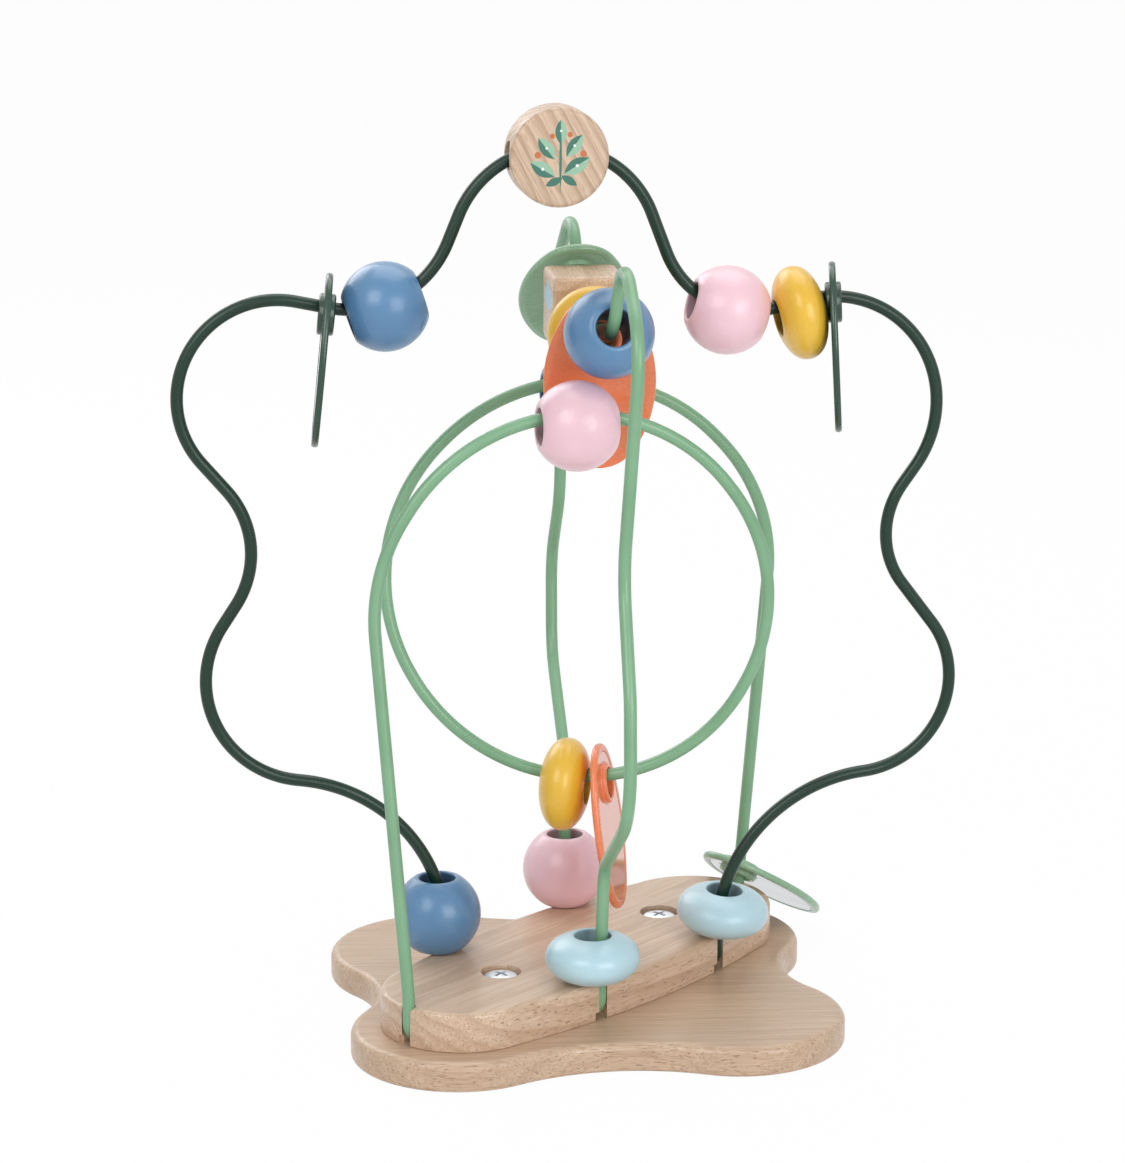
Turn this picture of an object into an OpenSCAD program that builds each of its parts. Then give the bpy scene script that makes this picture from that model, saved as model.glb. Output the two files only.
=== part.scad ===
// Bead maze: a beech foot with a clamp plate, three bent wires and the beads that ride on them.
// Millimetres, +Z up, the viewer in front of the toy looks along +Y.
// The origin is the middle of the base plate's flat underside.

/* [Base plate] */
// Thickness of the base plate
base_t = 10; // [6:0.5:16]
// Radius of the front left lobe and its twin at the rear right
lobe_a_r = 35.5; // [25:0.5:45]
// Radius of the rear left lobe and its twin at the front right
lobe_b_r = 36; // [25:0.5:45]
// Centre of the front left lobe, to the left of the middle
lobe_a_x = 40; // [30:0.5:50]
// Centre of the front left lobe, in front of the middle
lobe_a_y = 45; // [35:0.5:55]
// Centre of the rear left lobe, to the left of the middle
lobe_b_x = 50.5; // [40:0.5:60]
// Centre of the rear left lobe, behind the middle
lobe_b_y = 31; // [22:0.5:40]
// Radius of the hollows at the left and right
side_hollow_r = 35; // [25:0.5:60]
// Radius of the hollows at the front and rear
front_hollow_r = 67; // [45:0.5:90]
// How far a hollow bites into the lobes beside it, so that the edge lines cross cleanly
hollow_bite = 0.06; // [0.02:0.01:0.2]

/* [Clamp plate] */
// Thickness of the clamp plate
clamp_t = 13; // [9:0.5:18]
// Half the length of the clamp plate
clamp_half_l = 85.6; // [70:0.2:100]
// Half the width of the clamp plate at its middle
clamp_half_w = 32.8; // [25:0.2:40]
// Radius of the long, slightly bowed sides
clamp_side_r = 300; // [200:5:600]
// Radius of the round ends
clamp_end_r = 26.75; // [20:0.25:30]
// Angle of the clamp plate across the base
clamp_angle = 48.5; // [30:0.5:60]

/* [Wires] */
// Diameter of a coated wire
wire_d = 4.1; // [3:0.1:5]
// Extra diameter where a wire is bent
bend_swell = 0.04; // [0.02:0.01:0.08]
// Length by which neighbouring wire pieces run into each other
wire_lap = 0.3; // [0.2:0.05:0.5]
// Half the span of the outer wire
outer_half_span = 130; // [100:1:160]
// Half the span of the arch wire
arch_half_span = 90; // [70:1:110]
// Sideways lean of the arch wire, in degrees
arch_lean = 1.15; // [0:0.05:3]
// Radius of the loop wire's round turns
loop_r = 60; // [45:1:75]
// Radius of the bend under the clamp plate
foot_bend_r = 5; // [4.5:0.25:6]
// Length of wire in the groove under the clamp plate
foot_run = 15; // [10:0.5:20]
// Height above the clamp plate where a wire leaves its straight foot
foot_rise = 3; // [2:0.5:8]
// Radius of the slight bend where a wire leaves its foot
foot_exit_r = 14; // [8:1:20]
// Distance of the outer wire's feet from the middle, along the clamp plate
outer_foot_u = 36; // [25:0.5:45]
// Distance of the arch wire's feet from the middle, along the clamp plate
arch_foot_u = 25.5; // [15:0.5:30]
// Depth of a wire's centre behind the clamp plate's side face
foot_inset = 1.5; // [1:0.1:2.5]

/* [Wire seats] */
// Clearance round a wire in its hole and groove
seat_gap = 0.25; // [0.15:0.05:0.5]
// Gap between a wire's underside and the base plate
seat_lift = 0.2; // [0.1:0.05:0.5]
// Clearance beside a wire in its groove
groove_gap = 0.2; // [0.1:0.05:0.4]
// Height of the groove under the clamp plate
groove_h = 6.6; // [5:0.1:8]
// Width of the small notch beside a groove's mouth
notch_w = 1.2; // [0.5:0.1:2]
// Height of the small notch beside a groove's mouth
notch_h = 3; // [2:0.1:5]

/* [Screws] */
// Distance of a screw from the middle, along the clamp plate
screw_u = 40.4; // [30:0.2:50]
// Diameter of the pocket for a screw head
pocket_d = 13.4; // [11:0.2:16]
// Depth of the pocket for a screw head
pocket_depth = 3.2; // [2.5:0.1:5]
// Diameter of a screw head
screw_head_d = 11; // [8:0.2:12]
// Height of a screw head
screw_head_h = 2.6; // [1.8:0.1:3]
// Radius of the head's domed top
screw_dome_r = 9; // [8:0.5:14]
// Diameter of a screw shank
screw_shank_d = 4; // [3:0.2:5]
// Length of a screw shank
screw_shank_l = 16; // [12:0.5:18]
// Clearance round a screw shank
screw_gap = 0.1; // [0.05:0.05:0.3]
// Spare depth under a screw's tip
tip_spare = 0.6; // [0.3:0.1:2]
// Width across the cross recess
cross_span = 5.4; // [4:0.2:7]
// Width of a slot of the cross recess
cross_slot = 1.2; // [0.8:0.1:1.6]
// Depth of the cross recess
cross_depth = 1.5; // [1:0.1:2]

/* [Beads] */
// Diameter of a ball
ball_d = 29; // [25:0.5:33]
// Diameter of the flat round a ball's bore
ball_flat_d = 15; // [13.5:0.25:18]
// Bore through balls, ring beads and the cube
bore_d = 12; // [11:0.25:13]
// Size of the broken edge at a bore's mouth
mouth_edge = 0.5; // [0.3:0.1:1]
// Diameter of a ring bead
ring_d = 31; // [26:0.5:34]
// Radius of a ring bead's rounded rim
ring_rim_r = 6; // [4.5:0.25:7]
// Radius of a ring bead's domed faces
ring_dome_r = 24; // [18:0.5:30]
// Half the height of a ring bead's domes at its axis
ring_half_h = 8.6; // [7:0.1:10]
// Edge length of the cube
cube_w = 24; // [20:0.5:28]
// Broken edges of the cube
cube_edge = 1.2; // [0.5:0.1:2]
// Diameter of the top disc
disc_d = 32; // [28:0.5:36]
// Thickness of the top disc
disc_t = 15; // [14:0.5:20]
// Bore across the top disc
disc_bore_d = 9.5; // [9:0.25:10.5]
// Radius of the top disc's rounded edges
disc_edge = 1.6; // [0.5:0.1:2.5]
// Gap that keeps a riding bead off its wire
ride_gap = 0.35; // [0.3:0.05:0.6]
// Gap between neighbours on one wire
side_gap = 0.5; // [0.3:0.05:1]
// Gap between a bead at a foot and the clamp plate
rest_gap = 0.35; // [0.3:0.05:1]

/* [Mirror ovals] */
// Length of an oval
oval_l = 56.5; // [48:0.5:62]
// Width of an oval
oval_w = 36.8; // [32:0.5:42]
// Radius of an oval's ends
oval_end_r = 14; // [11:0.25:16]
// Radius of an oval's rounded rim
oval_rim_r = 1.4; // [1.1:0.1:2]
// Thickness of the plate inside the rim
oval_plate_t = 2.2; // [1.8:0.1:2.6]
// Distance of the hole's centre from the end of an oval
oval_hole_in = 13.3; // [11:0.25:15]
// Hole through an oval
oval_hole_d = 10.2; // [9:0.2:11]
// Diameter of the collar round the hole
collar_d = 13.4; // [12:0.25:16]
// Length of the collar round the hole
collar_l = 5.4; // [4:0.2:7]
// Broken edge of the collar
collar_edge = 0.8; // [0.3:0.1:1]
// Land left between the collar and the mirror's recess
collar_step = 0.4; // [0.3:0.1:1]
// Distance of the recess from the oval's outer edge
recess_inset = 2.7; // [2.4:0.1:4]
// Depth of the mirror's recess
recess_depth = 0.5; // [0.3:0.1:0.8]
// Thickness of a mirror
mirror_t = 0.4; // [0.2:0.1:0.6]
// Clearance round a mirror
mirror_gap = 0.15; // [0.1:0.05:0.3]

/* [Bead places] */
// Place of the left ball along its valley's bend, as a share of the bend
left_ball_share = 0.38; // [0.2:0.02:0.6]
// Distance of the left oval from the left valley's bend
left_oval_back = 0.5; // [0:0.25:6]
// Swing of the left oval towards the upright, in degrees
left_oval_tilt = 6; // [0:0.5:8]
// Turn of the left oval about the upright, in degrees
left_oval_yaw = 6; // [0:0.5:8]
// Drop of the left oval under its wire
left_oval_drop = 2.2; // [1.8:0.1:2.3]
// Place of the right ball along its valley's bend, as a share of the bend
right_ball_share = 0.65; // [0.5:0.01:0.8]
// Distance of the right ring bead from the right valley's bend
right_ring_on = 8; // [6:0.5:10]
// Turn of the right oval round the right lobe's bend, in degrees
right_oval_turn = 14; // [12:0.5:30]
// Swing of the right oval out of the wire's square, in degrees
right_oval_tilt = 5; // [0:0.5:8]
// Turn of the right oval about the upright, in degrees
right_oval_yaw = 13; // [0:0.5:15]
// Drop of the right oval under its wire
right_oval_drop = 1.9; // [1.5:0.1:2]
// Place of the front ball along the loop wire's front top, as a share of the bend
loop_ball_share = 0.53; // [0.3:0.02:0.7]
// Place of the rear ball along the loop wire's rear top, as a share of the bend
loop_back_share = 0.5; // [0.4:0.02:0.6]
// Place of the ring bead along the loop wire's bottom, as a share of the bend
loop_ring_share = 0.535; // [0.5:0.005:0.6]
// Place of the oval along the loop wire's bottom, as a share of the bend
loop_oval_share = 0.445; // [0.4:0.002:0.48]
// Place of the arch wire's ball along the front valley's bend, as a share of the bend
arch_ball_share = 0.72; // [0.6:0.02:0.9]
// Distance of the arch wire's oval from the front valley's bend
arch_oval_on = 11.5; // [10:0.25:12]
// Turn of the cube round the rear valley's bend, in degrees
arch_cube_turn = 1; // [0:0.5:4]
// Distance of the last oval from the rear valley's bend
back_oval_on = 1.6; // [0.6:0.1:3]
// Drop of the last oval under its wire
back_oval_drop = 1.4; // [1:0.1:1.5]
// Tilt of the last oval towards the upright, in degrees
back_oval_tilt = 15; // [10:1:18]
// Sideways shift of the ball at the left foot
left_foot_shift = 2.6; // [0:0.1:2.8]
// Sideways shift of the ring bead at the right foot
right_foot_shift = 2; // [0:0.1:2.4]
// Tilt of the ring bead over the edge at the right foot, in degrees
right_foot_tilt = 6; // [0:0.5:8]
// Sideways shift of the ring bead at the front foot
front_foot_shift = 2.4; // [0:0.1:3]
// Backward shift of the ball at the rear foot
rear_foot_shift = 0.8; // [0:0.1:2]
// Height of the leaning oval's hole over the clamp plate
foot_oval_rise = 4.8; // [4:0.2:8]
// Lean of the oval at the loop wire's rear foot, in degrees
foot_oval_lean = 33.5; // [10:0.5:34]
// Direction in which that oval points downhill, in degrees from the right
foot_oval_heading = 47; // [30:1:80]

/* [Hidden] */
// Outer wire: along its span, height over the clamp plate and bend radius, as shares of its half span
outer_shares = [
  [-0.365, 0.415, 0.425],
  [-1.140, 0.535, 0.265],
  [-0.775, 1.085, 0.245],
  [-1.415, 1.845, 0.245],
  [-0.420, 1.630, 0.260],
  [-0.060, 2.500, 0.260],
  [0.285, 1.600, 0.240],
  [1.280, 1.820, 0.280],
  [0.735, 1.050, 0.220],
  [1.175, 0.470, 0.245],
  [0.400, 0.385, 0.425],
];
// Arch wire: along its span from front to rear, height and bend radius, as shares of its half span
arch_shares = [
  [-0.470, 0.440, 0.155],
  [-1.005, 0.790, 0.290],
  [-0.940, 1.185, 0.270],
  [-0.735, 1.585, 0.320],
  [-0.965, 2.425, 0.220],
  [-0.555, 2.700, 0.165],
  [-0.400, 2.335, 0.260],
  [0.400, 2.340, 0.220],
  [0.590, 2.685, 0.155],
  [0.970, 2.405, 0.220],
  [0.760, 1.565, 0.300],
  [0.975, 1.250, 0.270],
  [0.915, 0.885, 0.265],
  [0.505, 0.560, 0.155],
];
// Loop wire: right, back, height and bend radius, as shares of the loop radius
loop_shares = [
  [-1.125, -0.765, 2.300, 1.020],
  [-0.120, -0.550, 3.885, 1.065],
  [1.185, -0.250, 2.155, 1.075],
  [0.020, 0.000, -0.195, 1.060],
  [-1.350, 0.250, 2.205, 1.065],
  [-0.005, 0.550, 3.545, 1.095],
  [1.095, 0.765, 2.390, 1.090],
];
// Steps in a quarter turn of a rounded edge
edge_steps = 4;
// Steps in each arc of an oval's flat plate
oval_steps = 12;
// Overrun of every cut
cut_over = 1;

clamp_top = base_t + clamp_t;
wire_r = wire_d / 2;
bend_d = wire_d + bend_swell;
bore_r = bore_d / 2;
ball_r = ball_d / 2;
seat_d = wire_d + 2 * seat_gap;
foot_z = base_t + seat_lift + wire_r;
clamp_end_u = clamp_half_l - clamp_end_r;

along = [cos(clamp_angle), sin(clamp_angle)];
across = [sin(clamp_angle), -cos(clamp_angle)];
function clamp_half_at(u) = clamp_half_w - clamp_side_r + sqrt(clamp_side_r * clamp_side_r - u * u);
function on_clamp(u, v) = along * u + across * v;
function flat3(p, z) = [p[0], p[1], z];

outer_foot_v = clamp_half_at(outer_foot_u) - foot_inset;
arch_foot_v = clamp_half_at(arch_foot_u) - foot_inset;
loop_foot_u = clamp_half_l - foot_inset;
outer_foot = on_clamp(outer_foot_u, outer_foot_v);
arch_foot = on_clamp(-arch_foot_u, arch_foot_v);
loop_foot = on_clamp(-loop_foot_u, 0);

// Vector helpers
function unit(v) = v / norm(v);
function heading(p, i) = unit(p[i + 1] - p[i]);
function turn(p, i) = acos(min(1, heading(p, i - 1) * heading(p, i)));
function trim(p, r, i) = i == 0 || i == len(p) - 1 ? 0 : r[i] * tan(turn(p, i) / 2);
function inward(p, i) =
  let (a = heading(p, i - 1), b = heading(p, i))
  unit(b - a * (a * b));
function bend_start(p, r, i) = p[i] - heading(p, i - 1) * trim(p, r, i);
function bend_end(p, r, i) = p[i] + heading(p, i) * trim(p, r, i);
function bend_centre(p, r, i) = bend_start(p, r, i) + inward(p, i) * r[i];
function place(x, y, z, o) = [
  [x[0], y[0], z[0], o[0]],
  [x[1], y[1], z[1], o[1]],
  [x[2], y[2], z[2], o[2]],
  [0, 0, 0, 1],
];
function any_side(z) = unit(cross(z, abs(z[2]) < 0.9 ? [0, 0, 1] : [0, 1, 0]));

// Paths of the three wires, each with a bend radius for every corner
function in_plane(dir, lean, s, h) =
  [
    dir[0] * s + dir[1] * tan(lean) * h,
    dir[1] * s - dir[0] * tan(lean) * h,
    clamp_top + h,
  ];
function foot_path(foot, inner) = [
  flat3(foot + inner * foot_run, foot_z),
  flat3(foot, foot_z),
  flat3(foot, clamp_top + foot_rise),
];
function foot_back(foot, inner) = [
  flat3(foot, clamp_top + foot_rise),
  flat3(foot, foot_z),
  flat3(foot + inner * foot_run, foot_z),
];
foot_radii = [0, foot_bend_r, foot_exit_r];
foot_radii_back = [foot_exit_r, foot_bend_r, 0];

outer_dir = unit(outer_foot);
outer_path = concat(
  foot_path(-outer_foot, across),
  [for (w = outer_shares) in_plane(outer_dir, 0, w[0] * outer_half_span, w[1] * outer_half_span)],
  foot_back(outer_foot, -across)
);
outer_radii = concat(foot_radii, [for (w = outer_shares) w[2] * outer_half_span], foot_radii_back);

arch_dir = -unit(arch_foot);
arch_path = concat(
  foot_path(arch_foot, -across),
  [for (w = arch_shares) in_plane(arch_dir, arch_lean, w[0] * arch_half_span, w[1] * arch_half_span)],
  foot_back(-arch_foot, across)
);
arch_radii = concat(foot_radii, [for (w = arch_shares) w[2] * arch_half_span], foot_radii_back);

loop_path = concat(
  foot_path(loop_foot, along),
  [for (w = loop_shares) [w[0], w[1], w[2]] * loop_r + [0, 0, clamp_top]],
  foot_back(-loop_foot, -along)
);
loop_radii = concat(foot_radii, [for (w = loop_shares) w[3] * loop_r], foot_radii_back);

// Corner numbers that carry beads
outer_left_valley = 7;
outer_crown = 8;
outer_right_valley = 9;
outer_right_lobe = 10;
loop_front_top = 4;
loop_bottom = 6;
loop_rear_top = 8;
loop_rear_leg = 9;
arch_front_valley = 9;
arch_rear_valley = 10;

// A place on a wire is its point and its heading there
function on_bend(p, r, i, a) =
  let (c = bend_centre(p, r, i), n = inward(p, i), t = heading(p, i - 1))
  [c - n * r[i] * cos(a) + t * r[i] * sin(a), t * cos(a) + n * sin(a)];
function on_line(p, r, i, x) = [bend_end(p, r, i) + heading(p, i) * x, heading(p, i)];
function line_length(p, r, i) = norm(bend_start(p, r, i + 1) - bend_end(p, r, i));

// A rider's frame: Z along the wire, X down as far as the wire lets it
function downward(t) = unit([0, 0, -1] + t * t[2]);
function rider(spot, drop) =
  let (t = spot[1], x = downward(t))
  place(x, cross(t, x), t, spot[0] + x * drop);
function sag(r, half) = r - sqrt(r * r - half * half);

ball_half = sqrt(ball_r * ball_r - ball_flat_d * ball_flat_d / 4);
ring_half = ring_half_h - sag(ring_dome_r, bore_r);
ring_rim_at = ring_d / 2 - ring_rim_r;
cube_half = cube_w / 2;
collar_half = collar_l / 2;
hang = bore_r - wire_r - ride_gap;
oval_hang = oval_hole_d / 2 - wire_r - ride_gap;
disc_hang = disc_bore_d / 2 - wire_r - ride_gap;

// Oval outline about its middle: round ends and long side arcs that meet smoothly
oval_end_at = oval_l / 2 - oval_end_r;
oval_waist = oval_w / 2 - oval_end_r;
oval_side_at = (oval_end_at * oval_end_at - oval_waist * oval_waist) / (2 * oval_waist);
oval_side_r = oval_w / 2 + oval_side_at;
oval_split = atan2(oval_side_at, oval_end_at);
oval_off = oval_l / 2 - oval_hole_in;
oval_lap_angle = wire_lap / (oval_side_r - oval_rim_r) * 180 / PI;
function along_arc(c, r, a) = c + r * [cos(a), sin(a)];
function arc_points(c, r, from, sweep) =
  [for (k = [0:oval_steps - 1]) along_arc(c, r, from + sweep * k / oval_steps)];
function oval_points(inset) = concat(
  arc_points([oval_end_at, 0], oval_end_r - inset, -oval_split, 2 * oval_split),
  arc_points([0, -oval_side_at], oval_side_r - inset, oval_split, 180 - 2 * oval_split),
  arc_points([-oval_end_at, 0], oval_end_r - inset, 180 - oval_split, 2 * oval_split),
  arc_points([0, oval_side_at], oval_side_r - inset, 180 + oval_split, 180 - 2 * oval_split)
);

$fa = 6;
$fs = 0.6;

// Wire pieces
module straight_piece(a, b) {
  z = unit(b - a);
  x = any_side(z);
  multmatrix(place(x, cross(z, x), z, a))
    cylinder(d = wire_d, h = norm(b - a));
}

module bend_piece(p, r, i) {
  x = -inward(p, i);
  y = heading(p, i - 1);
  multmatrix(place(x, y, cross(x, y), bend_centre(p, r, i)))
    rotate_extrude(angle = turn(p, i))
      translate([r[i], 0])
        circle(d = bend_d);
}

module wire(p, r) {
  last = len(p) - 1;
  for (i = [0:last - 1]) {
    lap_a = i == 0 ? 0 : wire_lap;
    lap_b = i == last - 1 ? 0 : wire_lap;
    straight_piece(
      p[i] + heading(p, i) * (trim(p, r, i) - lap_a),
      p[i + 1] - heading(p, i) * (trim(p, r, i + 1) - lap_b)
    );
  }
  for (i = [1:last - 1])
    bend_piece(p, r, i);
}

// Plan of the base plate: four lobes joined by four hollows
function meet(a, ra, b, rb, side) =
  let (
    d = norm(b - a),
    e = (b - a) / d,
    x = (d * d + ra * ra - rb * rb) / (2 * d),
    y = sqrt(ra * ra - x * x)
  )
  a + e * x + [-e[1], e[0]] * y * side;

lobe_a = [-lobe_a_x, -lobe_a_y];
lobe_b = [-lobe_b_x, lobe_b_y];
side_reach = side_hollow_r - hollow_bite;
front_reach = front_hollow_r - hollow_bite;
side_hollow = meet(lobe_a, lobe_a_r + side_reach, lobe_b, lobe_b_r + side_reach, 1);
front_hollow = meet(lobe_a, lobe_a_r + front_reach, -lobe_b, lobe_b_r + front_reach, -1);

module base_body() {
  difference() {
    union() {
      linear_extrude(height = base_t)
        polygon([
          lobe_a,
          side_hollow,
          lobe_b,
          -front_hollow,
          -lobe_a,
          -side_hollow,
          -lobe_b,
          front_hollow,
        ]);
      for (side = [-1, 1]) {
        translate(flat3(lobe_a * side, 0))
          cylinder(r = lobe_a_r, h = base_t);
        translate(flat3(lobe_b * side, 0))
          cylinder(r = lobe_b_r, h = base_t);
      }
    }
    for (side = [-1, 1]) {
      translate(flat3(side_hollow * side, -cut_over))
        cylinder(r = side_hollow_r, h = base_t + 2 * cut_over);
      translate(flat3(front_hollow * side, -cut_over))
        cylinder(r = front_hollow_r, h = base_t + 2 * cut_over);
    }
  }
}

// Plan of the clamp plate: two bowed sides and two round ends
clamp_side_at = clamp_side_r - clamp_half_w;
clamp_meet_u = clamp_side_r * clamp_end_u / norm([clamp_side_at, clamp_end_u]);

module clamp_plan() {
  rotate(clamp_angle)
    intersection() {
      translate([0, -clamp_side_at])
        circle(r = clamp_side_r);
      translate([0, clamp_side_at])
        circle(r = clamp_side_r);
      union() {
        square([2 * clamp_meet_u, 2 * (clamp_half_w + cut_over)], center = true);
        for (side = [-1, 1])
          translate([side * clamp_end_u, 0])
            circle(r = clamp_end_r);
      }
    }
}

// The six feet, each with the direction of its groove
feet = [
  [outer_foot, -across],
  [-outer_foot, across],
  [arch_foot, -across],
  [-arch_foot, across],
  [loop_foot, along],
  [-loop_foot, -along],
];

module foot_seat(foot, inner) {
  side = [inner[1], -inner[0]];
  groove_w = wire_d + 2 * groove_gap;
  translate(flat3(foot, base_t - cut_over))
    cylinder(d = seat_d, h = clamp_t + 2 * cut_over);
  multmatrix(place(flat3(inner, 0), flat3(-side, 0), [0, 0, 1], flat3(foot, base_t - cut_over))) {
    translate([0, -groove_w / 2, 0])
      cube([foot_run + groove_gap, groove_w, groove_h + cut_over]);
    translate([-foot_inset - cut_over, 0, 0])
      cube([foot_inset + cut_over, seat_d / 2 + notch_w, notch_h + cut_over]);
  }
}

// Screws and the holes they stand in
pocket_z = clamp_top - pocket_depth;
screw_tip_z = pocket_z - screw_shank_l;
screw_hole_d = screw_shank_d + 2 * screw_gap;
screw_spots = [on_clamp(-screw_u, 0), on_clamp(screw_u, 0)];

module screw_holes() {
  for (spot = screw_spots)
    translate(flat3(spot, screw_tip_z - tip_spare))
      cylinder(d = screw_hole_d, h = clamp_top - screw_tip_z + cut_over);
}

module screw(spot) {
  translate(flat3(spot, pocket_z))
    difference() {
      union() {
        intersection() {
          cylinder(d = screw_head_d, h = screw_head_h + cut_over);
          translate([0, 0, screw_head_h - screw_dome_r])
            sphere(r = screw_dome_r);
        }
        translate([0, 0, -screw_shank_l])
          cylinder(d = screw_shank_d, h = screw_shank_l + screw_head_h / 2);
      }
      for (quarter = [0, 90])
        rotate(clamp_angle + quarter)
          translate([-cross_span / 2, -cross_slot / 2, screw_head_h - cross_depth])
            cube([cross_span, cross_slot, cross_depth + cut_over]);
    }
}

// Bead bodies, each about its own middle with the bore along Z
module bore_cut(d, half, reach) {
  cylinder(d = d, h = 2 * (reach + cut_over), center = true);
  for (side = [0, 1])
    mirror([0, 0, side])
      translate([0, 0, half - mouth_edge - cut_over])
        cylinder(r1 = d / 2 - cut_over, r2 = d / 2 + mouth_edge + cut_over, h = mouth_edge + 2 * cut_over);
}

module ball() {
  difference() {
    intersection() {
      sphere(d = ball_d);
      cylinder(d = ball_d + 2 * cut_over, h = 2 * ball_half, center = true);
    }
    bore_cut(bore_d, ball_half, ball_r);
  }
}

module ring() {
  dome_at = ring_dome_r - ring_half_h;
  difference() {
    union() {
      rotate_extrude()
        translate([ring_rim_at, 0])
          circle(r = ring_rim_r);
      intersection() {
        translate([0, 0, -dome_at])
          sphere(r = ring_dome_r);
        translate([0, 0, dome_at])
          sphere(r = ring_dome_r);
        cylinder(r = ring_rim_at + ring_rim_r / 2, h = 2 * ring_half_h, center = true);
      }
    }
    bore_cut(bore_d, ring_half, ring_half_h);
  }
}

module cube_bead() {
  bevel_w = (cube_w - cube_edge) * sqrt(2);
  long = 2 * cube_w;
  difference() {
    intersection() {
      cube(cube_w, center = true);
      rotate([45, 0, 0])
        cube([long, bevel_w, bevel_w], center = true);
      rotate([0, 45, 0])
        cube([bevel_w, long, bevel_w], center = true);
      rotate([0, 0, 45])
        cube([bevel_w, bevel_w, long], center = true);
    }
    bore_cut(bore_d, cube_half, cube_half);
  }
}

// Half profile of the top disc, its edges rounded in a few steps
disc_corner = [disc_d / 2 - disc_edge, disc_t / 2 - disc_edge];
function disc_edge_point(k) = along_arc(disc_corner, disc_edge, 90 * k / edge_steps);
function flip_y(p) = [p[0], -p[1]];

module disc_bead() {
  difference() {
    rotate([90, 0, 0])
      rotate_extrude()
        polygon(concat(
          [[0, -disc_t / 2]],
          [for (k = [0:edge_steps]) flip_y(disc_edge_point(edge_steps - k))],
          [for (k = [0:edge_steps]) disc_edge_point(k)],
          [[0, disc_t / 2]]
        ));
    cylinder(d = disc_bore_d, h = disc_d + 2 * cut_over, center = true);
  }
}

// Oval bodies: hole at the origin, long axis along X, mirror on the side given by face
land_r = collar_d / 2 + collar_step;

module rim_arc(r, from, sweep, swell) {
  rotate(from)
    rotate_extrude(angle = sweep)
      translate([r, 0])
        circle(d = 2 * oval_rim_r + swell);
}

module oval_rim() {
  end_r = oval_end_r - oval_rim_r;
  side_r = oval_side_r - oval_rim_r;
  side_from = oval_split - oval_lap_angle;
  side_sweep = 180 - 2 * side_from;
  for (half = [0, 180])
    rotate(half) {
      translate([oval_end_at, 0, 0])
        rim_arc(end_r, -oval_split, 2 * oval_split, bend_swell);
      translate([0, -oval_side_at, 0])
        rim_arc(side_r, side_from, side_sweep, 0);
    }
}

module collar() {
  r = collar_d / 2;
  rotate_extrude()
    polygon([
      [0, -collar_half],
      [r - collar_edge, -collar_half],
      [r, collar_edge - collar_half],
      [r, collar_half - collar_edge],
      [r - collar_edge, collar_half],
      [0, collar_half],
    ]);
}

module mirror_plan(gap) {
  difference() {
    translate([oval_off, 0])
      polygon(oval_points(recess_inset + gap));
    circle(r = land_r + gap);
  }
}

module oval(face) {
  difference() {
    union() {
      translate([oval_off, 0, 0]) {
        linear_extrude(height = oval_plate_t, center = true)
          polygon(oval_points(oval_rim_r));
        oval_rim();
      }
      collar();
    }
    cylinder(d = oval_hole_d, h = collar_l + 2 * cut_over, center = true);
    mirror([0, 0, face < 0 ? 1 : 0])
      translate([0, 0, oval_plate_t / 2 - recess_depth])
        linear_extrude(height = recess_depth + cut_over)
          mirror_plan(0);
  }
}

module oval_mirror(face) {
  mirror([0, 0, face < 0 ? 1 : 0])
    translate([0, 0, oval_plate_t / 2 - recess_depth])
      linear_extrude(height = mirror_t)
        mirror_plan(mirror_gap);
}

// Where each bead rides
// In a valley a bore rests by the upper edges of its two mouths
function valley_hang(bore, r, half) =
  let (reach = r - bend_d / 2 - ride_gap)
  sqrt(reach * reach - half * half) - r + bore / 2;
function bend_share(p, r, i, share) = on_bend(p, r, i, turn(p, i) * share);
function in_valley(p, r, i, share, half) =
  rider(bend_share(p, r, i, share), valley_hang(bore_d, r[i], half));
function upright(foot, shift, half) =
  place([1, 0, 0], [0, 1, 0], [0, 0, 1], flat3(foot + shift, clamp_top + rest_gap + half));

top_disc_at = rider(bend_share(outer_path, outer_radii, outer_crown, 1 / 2), disc_hang);
left_ball_at = in_valley(outer_path, outer_radii, outer_left_valley, left_ball_share, ball_half);
left_line = outer_left_valley - 1;
left_oval_x = line_length(outer_path, outer_radii, left_line) - left_oval_back;
left_oval_at = rider(on_line(outer_path, outer_radii, left_line, left_oval_x), left_oval_drop);
right_ball_at = in_valley(outer_path, outer_radii, outer_right_valley, right_ball_share, ball_half);
right_ring_at = rider(on_line(outer_path, outer_radii, outer_right_valley, right_ring_on), hang);
right_oval_at = rider(on_bend(outer_path, outer_radii, outer_right_lobe, right_oval_turn), right_oval_drop);

loop_bottom_r = loop_radii[loop_bottom];
loop_ball_at = rider(bend_share(loop_path, loop_radii, loop_front_top, loop_ball_share), hang);
loop_back_at = rider(bend_share(loop_path, loop_radii, loop_rear_top, loop_back_share), hang);
loop_ring_at = in_valley(loop_path, loop_radii, loop_bottom, loop_ring_share, ring_half);
loop_oval_at = rider(
  bend_share(loop_path, loop_radii, loop_bottom, loop_oval_share),
  valley_hang(oval_hole_d, loop_bottom_r, collar_half)
);

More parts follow.
